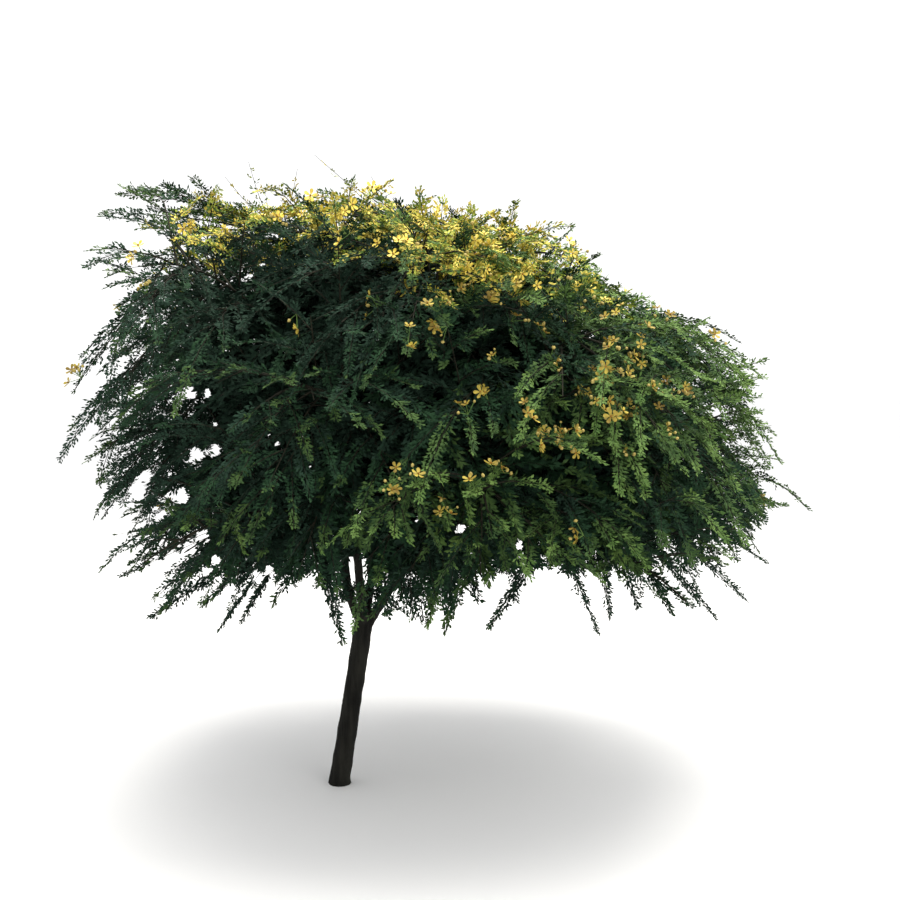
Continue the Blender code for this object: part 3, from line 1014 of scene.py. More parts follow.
@dataclass
class Canopy:
    """Twigs on the masses' stems, plumes on the twigs, and small leaves all along the plumes."""

    skeleton: Skeleton
    view: View
    rim: CrownShape = CrownShape(
        half_width=1.02,
        half_height=0.82,
        under=0.52,
        under_right=0.34,
        left_power=5.0,
        right_power=1.48,
        under_power=2.6,
        swells=(
            (23.0, 11.0, 0.10), (47.0, 11.0, -0.075), (84.0, 20.0, -0.08),
            (132.0, 12.0, -0.05), (154.0, 10.0, -0.10), (-33.0, 14.0, 0.10),
        ),
        lumps=0.12,
    )
    least: Triple = (-0.80, -1.035, 0.40)  # no shoot reaches beyond these
    most: Triple = (1.425, 1.015, 1.892)
    twigs_per_mass: int = 20
    twigs_per_leader: int = 12
    twigs_per_bough: int = 6
    inner_length: float = 0.34
    inner_spread: float = math.radians(78)
    inner_droop: float = 3.0
    tier_tips: tuple[Triple, ...] = (
        (-0.440, -0.15, 1.812), (-0.480, -0.05, 1.812), (-0.480, -0.24, 1.800), (-0.520, -0.10, 1.760),
        (-0.400, 0.10, 1.785), (-0.330, -0.10, 1.760), (-0.500, -0.30, 1.716), (-0.540, 0.05, 1.735),
        (-0.420, 0.15, 1.700), (-0.570, 0.30, 1.690), (-0.620, 0.00, 1.603), (-0.560, -0.25, 1.481),
        (-0.630, 0.10, 1.416), (-0.430, 0.60, 1.720), (-0.550, 0.50, 1.540),
    )  # where the stiff twigs of the upper left end
    tier_rise: float = 0.15  # how much of its climb such a twig still has at its tip
    tier_limpness: float = 0.3
    stiff_shortening: float = 0.55
    reach_least: float = 0.24  # least distance from a single shoot's foot to its tip
    first_twig: float = 0.06
    last_twig: float = 0.97
    twig_jitter: float = 0.5  # how far on along the limb a twig may stand, as a share of the spacing
    twig_spread: float = math.radians(70)
    spread_closing: float = math.radians(34)
    spread_scatter: float = math.radians(10)
    turn_scatter: float = 0.4  # in radians
    twig_length: float = 0.46
    twig_shortening: float = 0.25
    length_scatter: float = 0.14
    twig_limit: float = 0.95  # how far out a twig may reach, as a share of the outline
    twig_droop: float = 2.4
    twig_stations: int = 9
    twig_radii: tuple[float, float] = (0.0034, 0.0013)
    steep_relief: float = 0.6
    plume_spacing: float = 0.047
    plume_jitter: float = 0.3  # of the spacing
    first_plume: float = 0.05
    last_plumes: tuple[float, float] = (0.95, 0.96)  # where on a twig side plumes stop, and the end one is
    most_plumes: int = 11
    plume_angle: float = math.radians(50)
    angle_closing: float = math.radians(16)
    angle_scatter: float = math.radians(8)
    plume_roll: tuple[float, float] = (-0.35, 0.6)  # least and most turn out of the level, in radians
    outward_pull: float = 0.16
    sag: float = 0.16
    plume_length: float = 0.29
    plume_shortening: float = 0.28
    plume_scatter: float = 0.20
    least_plume: float = 0.07
    plume_limit: tuple[float, float] = (0.96, 1.05)
    straggler_share: float = 0.05  # share of the skirt's plumes that hang lower than the rest
    straggler_limit: float = 1.16
    plume_droop: float = 3.5
    plume_stations: int = 7
    plume_radii: tuple[float, float] = (0.0017, 0.0006)
    trunk_clearance: float = 0.05
    openings: tuple[Triple, ...] = (
        (129, 228, 5), (147, 238, 5), (165, 241, 4), (182, 249, 4), (135, 265, 4.5), (123, 292, 4.5),
        (112, 314, 4.5), (191, 393, 6), (208, 392, 4.5), (215, 425, 3), (269, 435, 3), (279, 443, 3),
        (196, 452, 5.5), (216, 450, 6), (310, 466, 3), (146, 477, 6), (138, 491, 8), (182, 496, 7.5),
        (122, 531, 6), (203, 536, 7.5), (189, 548, 7), (172, 557, 7), (157, 565, 7), (216, 560, 5),
        (206, 571, 5), (230, 590, 5.5), (258, 577, 6), (270, 570, 6), (358, 511, 4), (357, 562, 8),
        (357, 574, 9), (416, 522, 4), (460, 528, 6.5), (520, 545, 5),
    )  # where the view goes through the crown: column, row and radius of each, in pixels of the view
    opening_edges: tuple[float, float] = (0.75, 1.30)  # what leaflets keep off, as a share of the radius
    skirt: Table = (
        (-0.80, 0.64), (-0.575, 0.57), (-0.30, 0.53), (-0.23, 0.65), (-0.04, 0.64), (0.06, 0.55),
        (0.16, 0.54), (0.40, 0.54), (0.48, 0.66), (0.68, 0.69), (0.81, 0.66), (0.96, 0.68),
        (1.20, 0.68), (1.26, 0.73), (1.33, 0.87), (1.42, 0.94),
    )  # the lower edge of the leaves: across and up in the trunk's plane
    skirt_give: tuple[float, float] = (-1.0, 3.0)  # least and most that the edge moves, beside its scatter
    skirt_scatter: float = 0.03
    wisp_tips: tuple[Triple, ...] = (
        (-0.317, -0.10, 1.873), (-0.214, -0.30, 1.886), (-0.090, -0.20, 1.882), (-0.019, -0.40, 1.890),
        (0.033, -0.10, 1.861), (0.108, 0.00, 1.888), (-0.250, 0.25, 1.880), (0.050, 0.35, 1.885),
    )  # where single thin plumes stand up above the top
    wisp_rise: float = 1.6
    wisp_bareness: float = 6.0  # how much farther apart its leaves are than on a full plume
    pendant_spots: tuple[Triple, ...] = (
        (600, 628, -0.30), (612, 612, -0.05), (640, 602, -0.12), (676, 608, -0.22), (702, 598, 0.10),
        (720, 614, -0.10), (750, 594, 0.02), (770, 556, 0.15), (788, 498, 0.0), (752, 372, 0.05),
        (490, 622, -0.45), (446, 626, -0.52), (428, 622, -0.36), (341, 638, -0.42), (216, 624, -0.30),
        (238, 618, -0.12), (147, 612, -0.25), (118, 570, -0.10), (112, 528, 0.08),
    )  # where single plumes reach beyond the rest: column and row in the view, and place in depth in metres
    pendant_tips: tuple[Triple, ...] = (
        (-0.403, -0.10, 0.588), (-0.290, 0.05, 0.551), (-0.663, 0.05, 0.691),
    )  # where three more do, in metres
    pendant_bareness: float = 0.55
    pendant_inward: float = 0.42  # how far towards the heart its foot is looked for
    tip_cover: float = 0.02  # how far beyond a bare stem's tip its covering plume ends
    tip_rise: float = 1.0  # how much of its fall such a plume still has at its own tip
    pendant_rise: float = 1.05
    leaf_pitch: float = 0.0045  # length of plume to one feathered leaf
    coarseness: Table = ((0.60, 2.6), (0.85, 1.0))  # share of the way out, leaflet size
    fine_below: float = 0.64  # below this every leaflet is fine, and they coarsen over the next stretch
    fine_fade: float = 0.30
    bare_foot: float = 0.012
    leaf_angle: float = math.radians(42)
    angle_ease: float = math.radians(14)  # how much closer to the rib the leaves at its tip lie
    leaf_scatter: float = math.radians(7)
    leaf_lift: tuple[float, float] = (0.20, 0.40)  # mean and scatter of its rise from the plume, in radians
    plume_tilt: float = 0.35  # scatter of a plume's roll about its rib, in radians
    leaf_span: float = 0.028
    leaf_spans: tuple[float, float] = (0.85, 1.10)
    foot_share: float = 0.65  # size of the first leaves beside the largest
    full_share: float = 0.18  # how far along a plume its leaves are largest
    tip_taper: float = 0.68
    taper_power: float = 1.9
    leaflets: int = 3  # on each leaf
    leaflet_angle: float = math.radians(25)
    leaflet_scatter: float = math.radians(11)
    leaflet_places: tuple[float, float] = (0.2, 0.8)  # where in its stretch of the leaf a leaflet may grow
    leaflet_twist: float = 0.45
    leaflet_size: float = 0.0172
    leaflet_width: float = 0.0067
    leaflet_sizes: tuple[float, float] = (0.75, 1.15)
    leaflet_widths: tuple[float, float] = (0.85, 1.15)
    leaflet_taper: float = 0.45  # how much smaller they are at a plume's tip
    leaflet_belly: float = 0.58  # how far along it is widest
    leaflet_fold: float = 0.18
    depth_lights: Table = ((0.62, -0.2), (0.80, 0.5), (1.0, 1.9))  # share of the way out, painted light: lower deeper in, as painted shade
    light_scatter: float = 0.6
    tip_light: float = 0.8  # how much lighter the leaves at a plume's tip are dealt: partly young growth, partly painted light
    tint_floor: float = 0.25
    tint_dither: float = 0.5  # how far chance can carry a spray towards the next tint
    cap_depths: Table = ((-0.10, 0.13), (0.30, 0.20))  # across, how far down it is sunlit
    cap_scatter: float = 0.05
    cap_edge: float = 0.06  # scatter of the place across that decides whether a plume is sunlit
    cap_foot: float = 1.48  # the painted sunlight reaches no lower than this
    lit_shares: Table = ((-0.40, 0.15), (-0.12, 0.80), (0.88, 0.78), (1.15, 0.0))  # across, share of plumes painted sunlit
    gold_shares: Table = ((0.45, 0.46), (0.72, 0.09))  # across, share of the small sunlit sprays painted gold
    # across, share of the small sunlit sprays painted light green instead
    green_shares: Table = ((0.45, 0.24), (0.72, 0.60))
    profile_steps: int = 181  # at how many places the top profile is worked out
    shading: tuple[Region, ...] = (
        Region((-0.26, -0.79, 0.56), 12.0, -0.8),
        Region((-1.0, 0.0, 0.0), 1.0, -1.2),
        Region((1.0, 0.0, 0.0), 1.0, 0.6),
        Region((0.66, -0.15, -0.73), 4.5, -5.0),
        Region((0.15, -0.97, -0.20), 6.0, 0.45),
    )  # painted light and shade: how much lighter the green is dealt there, or darker where the amount is below nought
    most_sprays: int = 64  # on one plume, at the very most
    spray_leaves: int = 2
    stem_sides: int = 6
    twig_sides: int = 4
    plume_sides: int = 3
    twigs: Shoots | None = None
    plumes: Shoots | None = None

    def grow(self) -> Canopy:
        """Grows the twigs and the plumes.

        Returns:
            The canopy itself.
        """
        self.twigs = self.grow_twigs()
        self.plumes = self.grow_plumes()
        LOG.info("%d twigs, %d plumes", len(self.twigs.lengths), len(self.plumes.lengths))
        return self

    def trimmed(
        self,
        starts: np.ndarray,
        ways: np.ndarray,
        lengths: np.ndarray,
        droops: np.ndarray,
        stations: int,
        limits: np.ndarray,
    ) -> Shoots:
        """Grows shoots and ends each where it would leave the crown or close one of its openings.

        Args:
            starts: where each begins.
            ways: the way in which it sets out.
            lengths: how long it would be.
            droops: turn towards the ground, per metre.
            stations: how many points its line has.
            limits: how far out it may reach, as a share of the outline.

        Returns:
            The shoots.
        """
        steps = 2 * stations
        lines = arched(starts, ways, lengths, droops, steps, self.steep_relief)
        shares = self.rim.share(lines.reshape(-1, 3)).reshape(len(starts), steps)
        outside = (shares > limits[:, None]) | self.in_openings(lines) | self.below_skirt(lines, limits)
        outside |= ((lines < np.array(self.least)) | (lines > np.array(self.most))).any(axis=2)
        outside[:, 0] = False
        reached = np.where(outside.any(axis=1), outside.argmax(axis=1) - 1, steps - 1)
        kept = lengths * reached / (steps - 1)
        even = np.ones(len(kept))
        lines = arched(starts, ways, kept, droops, stations, self.steep_relief)
        return Shoots(lines, kept, even, even.copy())

    def whorl(
        self,
        line: list[Vector],
        count: int,
        spread: float,
        closing: float,
        length: float,
        seeded: random.Random,
    ) -> list[tuple[Vector, Vector, float]]:
        """Sets twigs all round a limb, each a golden angle on from the one before.

        Args:
            line: the limb's smooth line.
            count: how many twigs there are.
            spread: angle between the limb and a twig at its foot.
            closing: how much smaller that angle is at its end.
            length: a twig's length at the limb's foot.
            seeded: the source of chance.

        Returns:
            For each twig, where it starts, its way and its length.
        """
        limb = Limb(line, [0.0] * len(line))
        made = []
        for index in range(count):
            last = index == count - 1
            place = 1.0 if last else (index + seeded.uniform(0, self.twig_jitter)) / count
            share = self.first_twig + (self.last_twig - self.first_twig) * place
            start, along = limb.at(share)
            base = -DOWN if abs(along.z) < STEEP else Vector((1, 0, 0))
            up = (base - along * base.dot(along)).normalized()
            turn = index * GOLDEN_ANGLE + seeded.uniform(-self.turn_scatter, self.turn_scatter)
            out = Matrix.Rotation(turn, 3, along) @ up
            scatter = seeded.uniform(-self.spread_scatter, self.spread_scatter)
            angle = 0.0 if last else spread - closing * share + scatter
            stretch = seeded.uniform(1 - self.length_scatter, 1 + self.length_scatter)
            stretch *= 1 - self.twig_shortening * share
            made.append((start, along * math.cos(angle) + out * math.sin(angle), length * stretch))
        return made

    def grow_twigs(self) -> Shoots:
        """Grows the masses' twigs, more than the solids have, and shorter ones on leaders and boughs.

        Returns:
            The twigs.
        """
        tree, outer, inner = self.skeleton, [], []
        for own, stem in enumerate(tree.stems):
            seeded = random.Random(SEED * 100 + own)
            sizes = (self.twig_spread, self.spread_closing, self.twig_length)
            outer += self.whorl(stem.smooth, self.twigs_per_mass, *sizes, seeded)
        seeded = random.Random(SEED)
        limbs = [(limb, self.twigs_per_leader) for limb, _ in tree.leaders]
        limbs += [(limb, self.twigs_per_bough) for limb in tree.boughs.values()]
        for limb, count in limbs:
            inner += self.whorl(limb.smooth, count, self.inner_spread, 0.0, self.inner_length, seeded)
        rows = outer + inner
        droops = np.repeat([self.twig_droop, self.inner_droop], [len(outer), len(inner)])
        starts, ways = (np.array([row[part][:] for row in rows]) for part in (0, 1))
        lengths = np.array([row[2] for row in rows])
        limits = np.full(len(rows), self.twig_limit)
        made = self.trimmed(starts, ways, lengths, droops, self.twig_stations, limits)
        tiers = self.reaching(self.tier_tips, self.twig_stations, self.tier_rise, self.tier_limpness)
        return made.with_more(tiers)

    def reaching(
        self,
        tips: tuple[Triple, ...],
        stations: int,
        rise: float,
        limpness: float = 1.0,
        bareness: float = 1.0,
        inward: float = 0.0,
    ) -> Shoots:
        """Single shoots that leave the nearest stem, or one nearer the heart, and end at given places.

        Args:
            tips: where they end.
            stations: how many points each line has.
            rise: how much of its climb or fall a shoot still has at its tip.
            limpness: how much the plumes on it arch.
            bareness: how much farther apart its leaves are than on a full plume.
            inward: how far towards the heart its foot is looked for, as a share of the way.

        Returns:
            The shoots.
        """
        feet = [place for stem in self.skeleton.stems for place in stem.smooth]
        heart, lines = Vector(self.rim.heart), []
        for tip in map(Vector, tips):
            wanted = tip.lerp(heart, inward)
            far = [place for place in feet if (place - tip).length > self.reach_least]
            foot = min(far, key=lambda place, wanted=wanted: (place - wanted).length)
            across = tip - foot
            arrival = Vector((across.x, across.y, across.z * rise)).normalized()
            line = self.skeleton.eased(foot, across.normalized(), tip, arrival, stations - 1)
            lines.append([place[:] for place in line])
        lines = np.array(lines)
        lengths = np.linalg.norm(np.diff(lines, axis=1), axis=2).sum(axis=1)
        return Shoots(lines, lengths, np.full(len(tips), limpness), np.full(len(tips), bareness))

    def grow_plumes(self) -> Shoots:
        """Grows plumes turn about to either side of every twig, and one that goes on from its tip.

        Returns:
            The plumes.
        """
        chance = np.random.default_rng(SEED)
        count = len(self.twigs.lengths)
        rows = np.repeat(np.arange(count), self.most_plumes)
        order = np.tile(np.arange(self.most_plumes), count)
        jitter = chance.uniform(-self.plume_jitter, self.plume_jitter, len(rows))
        spots = self.first_plume + (order + jitter) * self.plume_spacing
        tips = order == self.most_plumes - 1
        last, end = self.last_plumes
        shares = np.where(tips, end, spots / np.maximum(self.twigs.lengths[rows], TINY))
        kept = tips | (shares < last)
        rows, order, shares, tips = rows[kept], order[kept], shares[kept], tips[kept]
        starts, along = self.twigs.at(rows, shares)
        level, up = frames(along)
        roll = chance.uniform(*self.plume_roll, len(rows))
        out = turned(level * hands(order + rows)[:, None], up, roll)
        angle = self.plume_angle - self.angle_closing * shares
        angle = angle + chance.uniform(-self.angle_scatter, self.angle_scatter, len(rows))
        angle = np.where(tips, 0.0, angle)
        away = self.skeleton.crown.away(starts)
        limpness = self.twigs.limpness[rows]
        sag = UP_ROW * (self.sag * limpness)[:, None]
        ways = unit(turned(along, out, angle) + away * self.outward_pull - sag)
        scatter = near_one(chance, self.plume_scatter, len(rows))
        lengths = self.plume_length * (1 - self.plume_shortening * shares * ~tips) * scatter
        stiff = limpness < 1
        lengths = np.where(stiff, lengths * self.stiff_shortening, lengths)
        limits = np.where(stiff, np.inf, chance.uniform(*self.plume_limit, len(rows)))
        straggling = (chance.random(len(rows)) < self.straggler_share) & (starts[:, 2] < self.rim.heart[2])
        limits = np.where(straggling, self.straggler_limit, limits)
        droops = self.plume_droop * limpness
        made = self.trimmed(starts, ways, lengths, droops, self.plume_stations, limits)
        opened = self.in_openings(made.lines[:, :1])[:, 0]
        kept = (made.lengths > self.least_plume) & self.clear_of_trunk(made.lines) & ~opened
        pendants = (*(self.view.at_depth(*spot) for spot in self.pendant_spots), *self.pendant_tips)
        bare, sets = self.pendant_bareness, [made.picked(kept)]
        for tips, rise, bareness, inward in (
            (self.wisp_tips, self.wisp_rise, self.wisp_bareness, 0.0),
            (pendants, self.pendant_rise, bare, self.pendant_inward),
            (self.bare_tips(), self.tip_rise, bare, 0.0),
        ):
            sets.append(self.reaching(tips, self.plume_stations, rise, bareness=bareness, inward=inward))
        return reduce(Shoots.with_more, sets)

    def bare_tips(self) -> tuple[Triple, ...]:
        """Finds the stems whose tips are seen below the skirt.

        Returns:
            A place a little way beyond each such tip.
        """
        lasts = [stem.smooth[-2:] for stem in self.skeleton.stems]
        ends = np.array([(end[:], (end - before).normalized()[:]) for before, end in lasts])
        bare = self.below_skirt(ends[:, :1], np.ones(len(ends)))[:, 0]
        return tuple(tuple(tip) for tip in ends[bare, 0] + ends[bare, 1] * self.tip_cover)

    def below_skirt(self, lines: np.ndarray, limits: np.ndarray) -> np.ndarray:
        """Finds what is seen below the skirt's edge, which is lower where the limit is wide.

        Args:
            lines: the lines' points, by line, station and axis.
            limits: how far out each line may reach, as a share of the outline.

        Returns:
            Whether each point is below the edge.
        """
        seen = self.view.sighted(lines)
        give = np.clip((limits - 1) / (self.plume_limit[1] - 1), *self.skirt_give) * self.skirt_scatter
        return seen[..., 2] < read_off(self.skirt, seen[..., 0]) - give[:, None]

    def in_openings(self, lines: np.ndarray, widths: np.ndarray | float = 1.0) -> np.ndarray:
        """Finds what stands in the sight through one of the crown's openings.

        Args:
            lines: the lines' points, by line, station and axis.
            widths: how wide the openings are for each point, beside their own radius.

        Returns:
            Whether each point is in an opening.
        """
        seen = self.view.sighted(lines)
        inside = np.zeros(lines.shape[:2], dtype=bool)
        for across, height, radius in (self.view.in_plane(*spot) for spot in self.openings):
            inside |= np.hypot(seen[..., 0] - across, seen[..., 2] - height) < radius * widths
        return inside

    def clear_of_trunk(self, lines: np.ndarray) -> np.ndarray:
        """Finds the lines that keep off the trunk.

        Args:
            lines: the lines' points, by line, station and axis.

        Returns:
            Whether each line keeps off it.
        """
        fork = self.skeleton.fork
        axis = fork[0] * lines[..., 2] / fork[2]
        near = np.hypot(lines[..., 0] - axis, lines[..., 1]) < self.trunk_clearance
        return ~(near & (lines[..., 2] < fork[2])).any(axis=1)

    def leaflet_template(self) -> Template:
        """Makes one leaflet, a metre long and a metre wide: a blade folded a little along its rib.

        Returns:
            The leaflet.
        """
        shape = bmesh.new()
        belly, drop = self.leaflet_belly, -self.leaflet_fold
        rim = [(0, 0, 0), (belly, 0.5, drop), (1, 0, 0), (belly, -0.5, drop)]
        root, left, tip, right = (shape.verts.new(place) for place in rim)
        shape.faces.new((root, tip, left))
        shape.faces.new((root, right, tip))
        return Template.from_bmesh(shape)

    def lights(self, chance: np.random.Generator) -> tuple[np.ndarray, np.ndarray]:
        """Deals the plumes their painted light and shade.

        Args:
            chance: the source of chance.

        Returns:
            How much painted light each plume is dealt beyond its depth's, by its side of the crown and at
            random, and how far below the top it is painted sunlit.
        """
        middle = self.plumes.lines[:, self.plume_stations // 2]
        count = len(middle)
        light = chance.normal(0, self.light_scatter, count)
        way = self.rim.away(middle)
        for region in self.shading:
            light += region.at(way)
        share = read_off(self.lit_shares, middle[:, 0] + chance.normal(0, self.cap_edge, count))
        lit = (chance.random(count) < share) & (middle[:, 2] > self.cap_foot)
        depths = read_off(self.cap_depths, middle[:, 0]) + chance.normal(0, self.cap_scatter, count)
        return light, np.where(lit, depths, -1.0)

    def profile(self, across: np.ndarray) -> np.ndarray:
        """Finds the height of the crown's top profile, as it is seen from the front.

        Args:
            across: places across the crown.

        Returns:
            The height at each.
        """
        rises = np.linspace(0, math.pi, self.profile_steps)
        ways = np.stack([np.cos(rises), np.zeros(len(rises)), np.sin(rises)], axis=1)
        edge = np.array(self.rim.heart) + ways * self.rim.reach(ways)[:, None]
        order = np.argsort(edge[:, 0])
        return np.interp(across, edge[order, 0], edge[order, 2])

    def leaves(self) -> dict[Tint, Shape]:
        """Sets feathered leaves to either side of every plume, swept towards its tip.

        Returns:
            The points and the triangles of the leaflets of each tint.
        """
        chance = np.random.default_rng(SEED + 1)
        plumes = self.plumes
        middle = plumes.lines[:, self.plume_stations // 2]
        coarse = read_off(self.coarseness, self.rim.share(middle))
        coarse = 1 + (coarse - 1) * np.clip((middle[:, 2] - self.fine_below) / self.fine_fade, 0, 1)
        pitch = self.leaf_pitch * coarse * plumes.bareness
        counts = ((plumes.lengths - self.bare_foot) / pitch).astype(int)
        rows = np.repeat(np.arange(len(counts)), counts)
        count = len(rows)
        order = np.arange(count) - np.repeat(np.cumsum(counts) - counts, counts)
        shares = (self.bare_foot + order * pitch[rows]) / plumes.lengths[rows]
        feet, along = plumes.at(rows, shares)
        level, up = frames(along)
        roll = chance.normal(0, self.plume_tilt, len(counts))[rows]
        level, up = turned(level, up, roll), turned(up, -level, roll)
        hand = hands(order)[:, None]
        lift = chance.normal(*self.leaf_lift, count)
        out = turned(level * hand, up, lift)
        over = turned(up, -level * hand, lift)
        angle = self.leaf_angle - self.angle_ease * shares + chance.normal(0, self.leaf_scatter, count)
        ahead = turned(along, out, angle)
        longer = np.maximum(plumes.lengths / self.plume_length, 1)[rows]
        narrowing = np.clip(1 - (1 - shares) * longer, 0, 1) ** self.taper_power
        taper = self.foot_share + (1 - self.foot_share) * np.minimum(shares / self.full_share, 1)
        taper = taper * (1 - self.tip_taper * narrowing)
        span = self.leaf_span * taper * chance.uniform(*self.leaf_spans, count)
        size = (1 - self.leaflet_taper * (1 - taper)) * coarse[rows]
        tint = self.leaf_tints(chance, rows, order, shares, feet)
        return self.leaflets_on(chance, feet, ahead, over, span, size, tint)

    def leaf_tints(
        self,
        chance: np.random.Generator,
        rows: np.ndarray,
        order: np.ndarray,
        shares: np.ndarray,
        feet: np.ndarray,
    ) -> np.ndarray:
        """Deals each leaf a tint: painted shade deeper in the crown, its plume's painted light, lighter
        towards the tip as young growth and painted light, painted sunlight near the top, and mixed by small
        sprays.

        Args:
            chance: the source of chance.
            rows: the plume that each leaf is on.
            order: its number on that plume.
            shares: how far along the plume it is.
            feet: where it grows.

        Returns:
            The number of each leaf's tint.
        """
        light, sun = self.lights(chance)
        depth = replace(self.rim, lumps=0.0).share(feet)
        # Painted shade deeper in the crown and painted light further out, on the lit sides and towards the
        # tips.
        light = read_off(self.depth_lights, depth) + light[rows] + self.tip_light * shares**2
        spray = rows * self.most_sprays + order // self.spray_leaves
        draw = chance.random(int(spray.max()) + 1)[spray]
        tint = np.clip(np.floor(light + self.tint_floor + self.tint_dither * draw), 0, Tint.FRESH.value)
        # Painted sunlight: sprays near the crown's top turn lime, gold or light green.
        sunlit = self.profile(feet[:, 0]) - feet[:, 2] < sun[rows]
        tint = np.where(sunlit, Tint.LIME.value, tint).astype(int)
        gold = draw < read_off(self.gold_shares, feet[:, 0])
        green = draw > 1 - read_off(self.green_shares, feet[:, 0])
        tint = np.where(sunlit & gold, Tint.GOLD.value, tint)
        return np.where(sunlit & green, Tint.FRESH.value, tint)

    def leaflets_on(
        self,
        chance: np.random.Generator,
        feet: np.ndarray,
        ahead: np.ndarray,
        over: np.ndarray,
        span: np.ndarray,
        size: np.ndarray,
        tint: np.ndarray,
    ) -> dict[Tint, Shape]:
        """Sets leaflets along every leaf, turn about to either side of its rib.

        Args:
            chance: the source of chance.
            feet: where each leaf grows.
            ahead: its way.
            over: the way of its upper face.
            span: the length of its rib.
            size: how large its leaflets are beside the largest.
            tint: the number of its tint.

        Returns:
            The points and the triangles of the leaflets of each tint.
        """
        count = len(feet) * self.leaflets
        leaf = np.repeat(np.arange(len(feet)), self.leaflets)
        step = np.tile(np.arange(self.leaflets), len(feet))
        place = (step + chance.uniform(*self.leaflet_places, count)) / self.leaflets
        feet = feet[leaf] + ahead[leaf] * (span[leaf] * place)[:, None]
        side = np.cross(over, ahead)[leaf]
        swing = hands(step) * self.leaflet_angle + chance.normal(0, self.leaflet_scatter, count)
        way = turned(ahead[leaf], side, swing)
        normal = turned(over[leaf], np.cross(way, over[leaf]), chance.normal(0, self.leaflet_twist, count))
        across = np.cross(normal, way)
        sizes = self.leaflet_size * size[leaf] * chance.uniform(*self.leaflet_sizes, count)
        widths = self.leaflet_width * size[leaf] * chance.uniform(*self.leaflet_widths, count)
        edges = chance.uniform(*self.opening_edges, count)
        kept = ~self.in_openings((feet + way * (sizes / 2)[:, None])[None], edges)[0]
        blade, made = self.leaflet_template(), {}
        for kind in Tint:
            own = (tint[leaf] == kind.value) & kept
            if own.any():
                chosen = (rows[own] for rows in (feet, way, across, normal, sizes, widths))
                made[kind] = blade.repeated(*chosen)
        return made

    def wood(self) -> Shape:
        """Makes the stems, the twigs and the plumes' ribs.

        Returns:
            Their points and their triangles.
        """
        stems = np.array([[place[:] for place in stem.smooth] for stem in self.skeleton.stems])
        ends = (self.skeleton.bough_radii[1], self.skeleton.stem_tip_radius)
        parts = []
        for lines, (foot, tip), sides in (
            (stems, ends, self.stem_sides),
            (self.twigs.lines[:, ::2], self.twig_radii, self.twig_sides),
            (self.plumes.lines[:, ::2], self.plume_radii, self.plume_sides),
        ):
            ease = np.linspace(0, 1, lines.shape[1])[None].repeat(len(lines), axis=0)
            parts.append(thin_tubes(lines, foot + (tip - foot) * ease, sides))
        return joined(parts)

    def make(self) -> list[bpy.types.Object]:
        """Builds the twigs and the leaves.

        Returns:
            The pieces.
        """
        twigs = joined_piece("twigs", self.wood(), TWIG.make())
        pieces = [twigs]
        for tint, (places, corners) in self.leaves().items():
            finish = LEAF_FINISHES[tint].make()
            parts = math.ceil(len(corners) / PIECE_LIMIT)
            step = math.ceil(len(corners) / 2 / parts) * 2
            for part in range(parts):
                chosen = corners[part * step : (part + 1) * step]
                low, high = chosen.min(), chosen.max() + 1
                name = f"leaves_{tint.name.lower()}_{part + 1}"
                leaves = joined_piece(name, (places[low:high], chosen - low), finish)
                pieces.append(leaves)
        nodes = [f"foliage_{index + 1:02d}" for index in range(self.skeleton.mass_count)]
        for piece in pieces:
            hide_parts(*nodes)
        return pieces


# Blossom


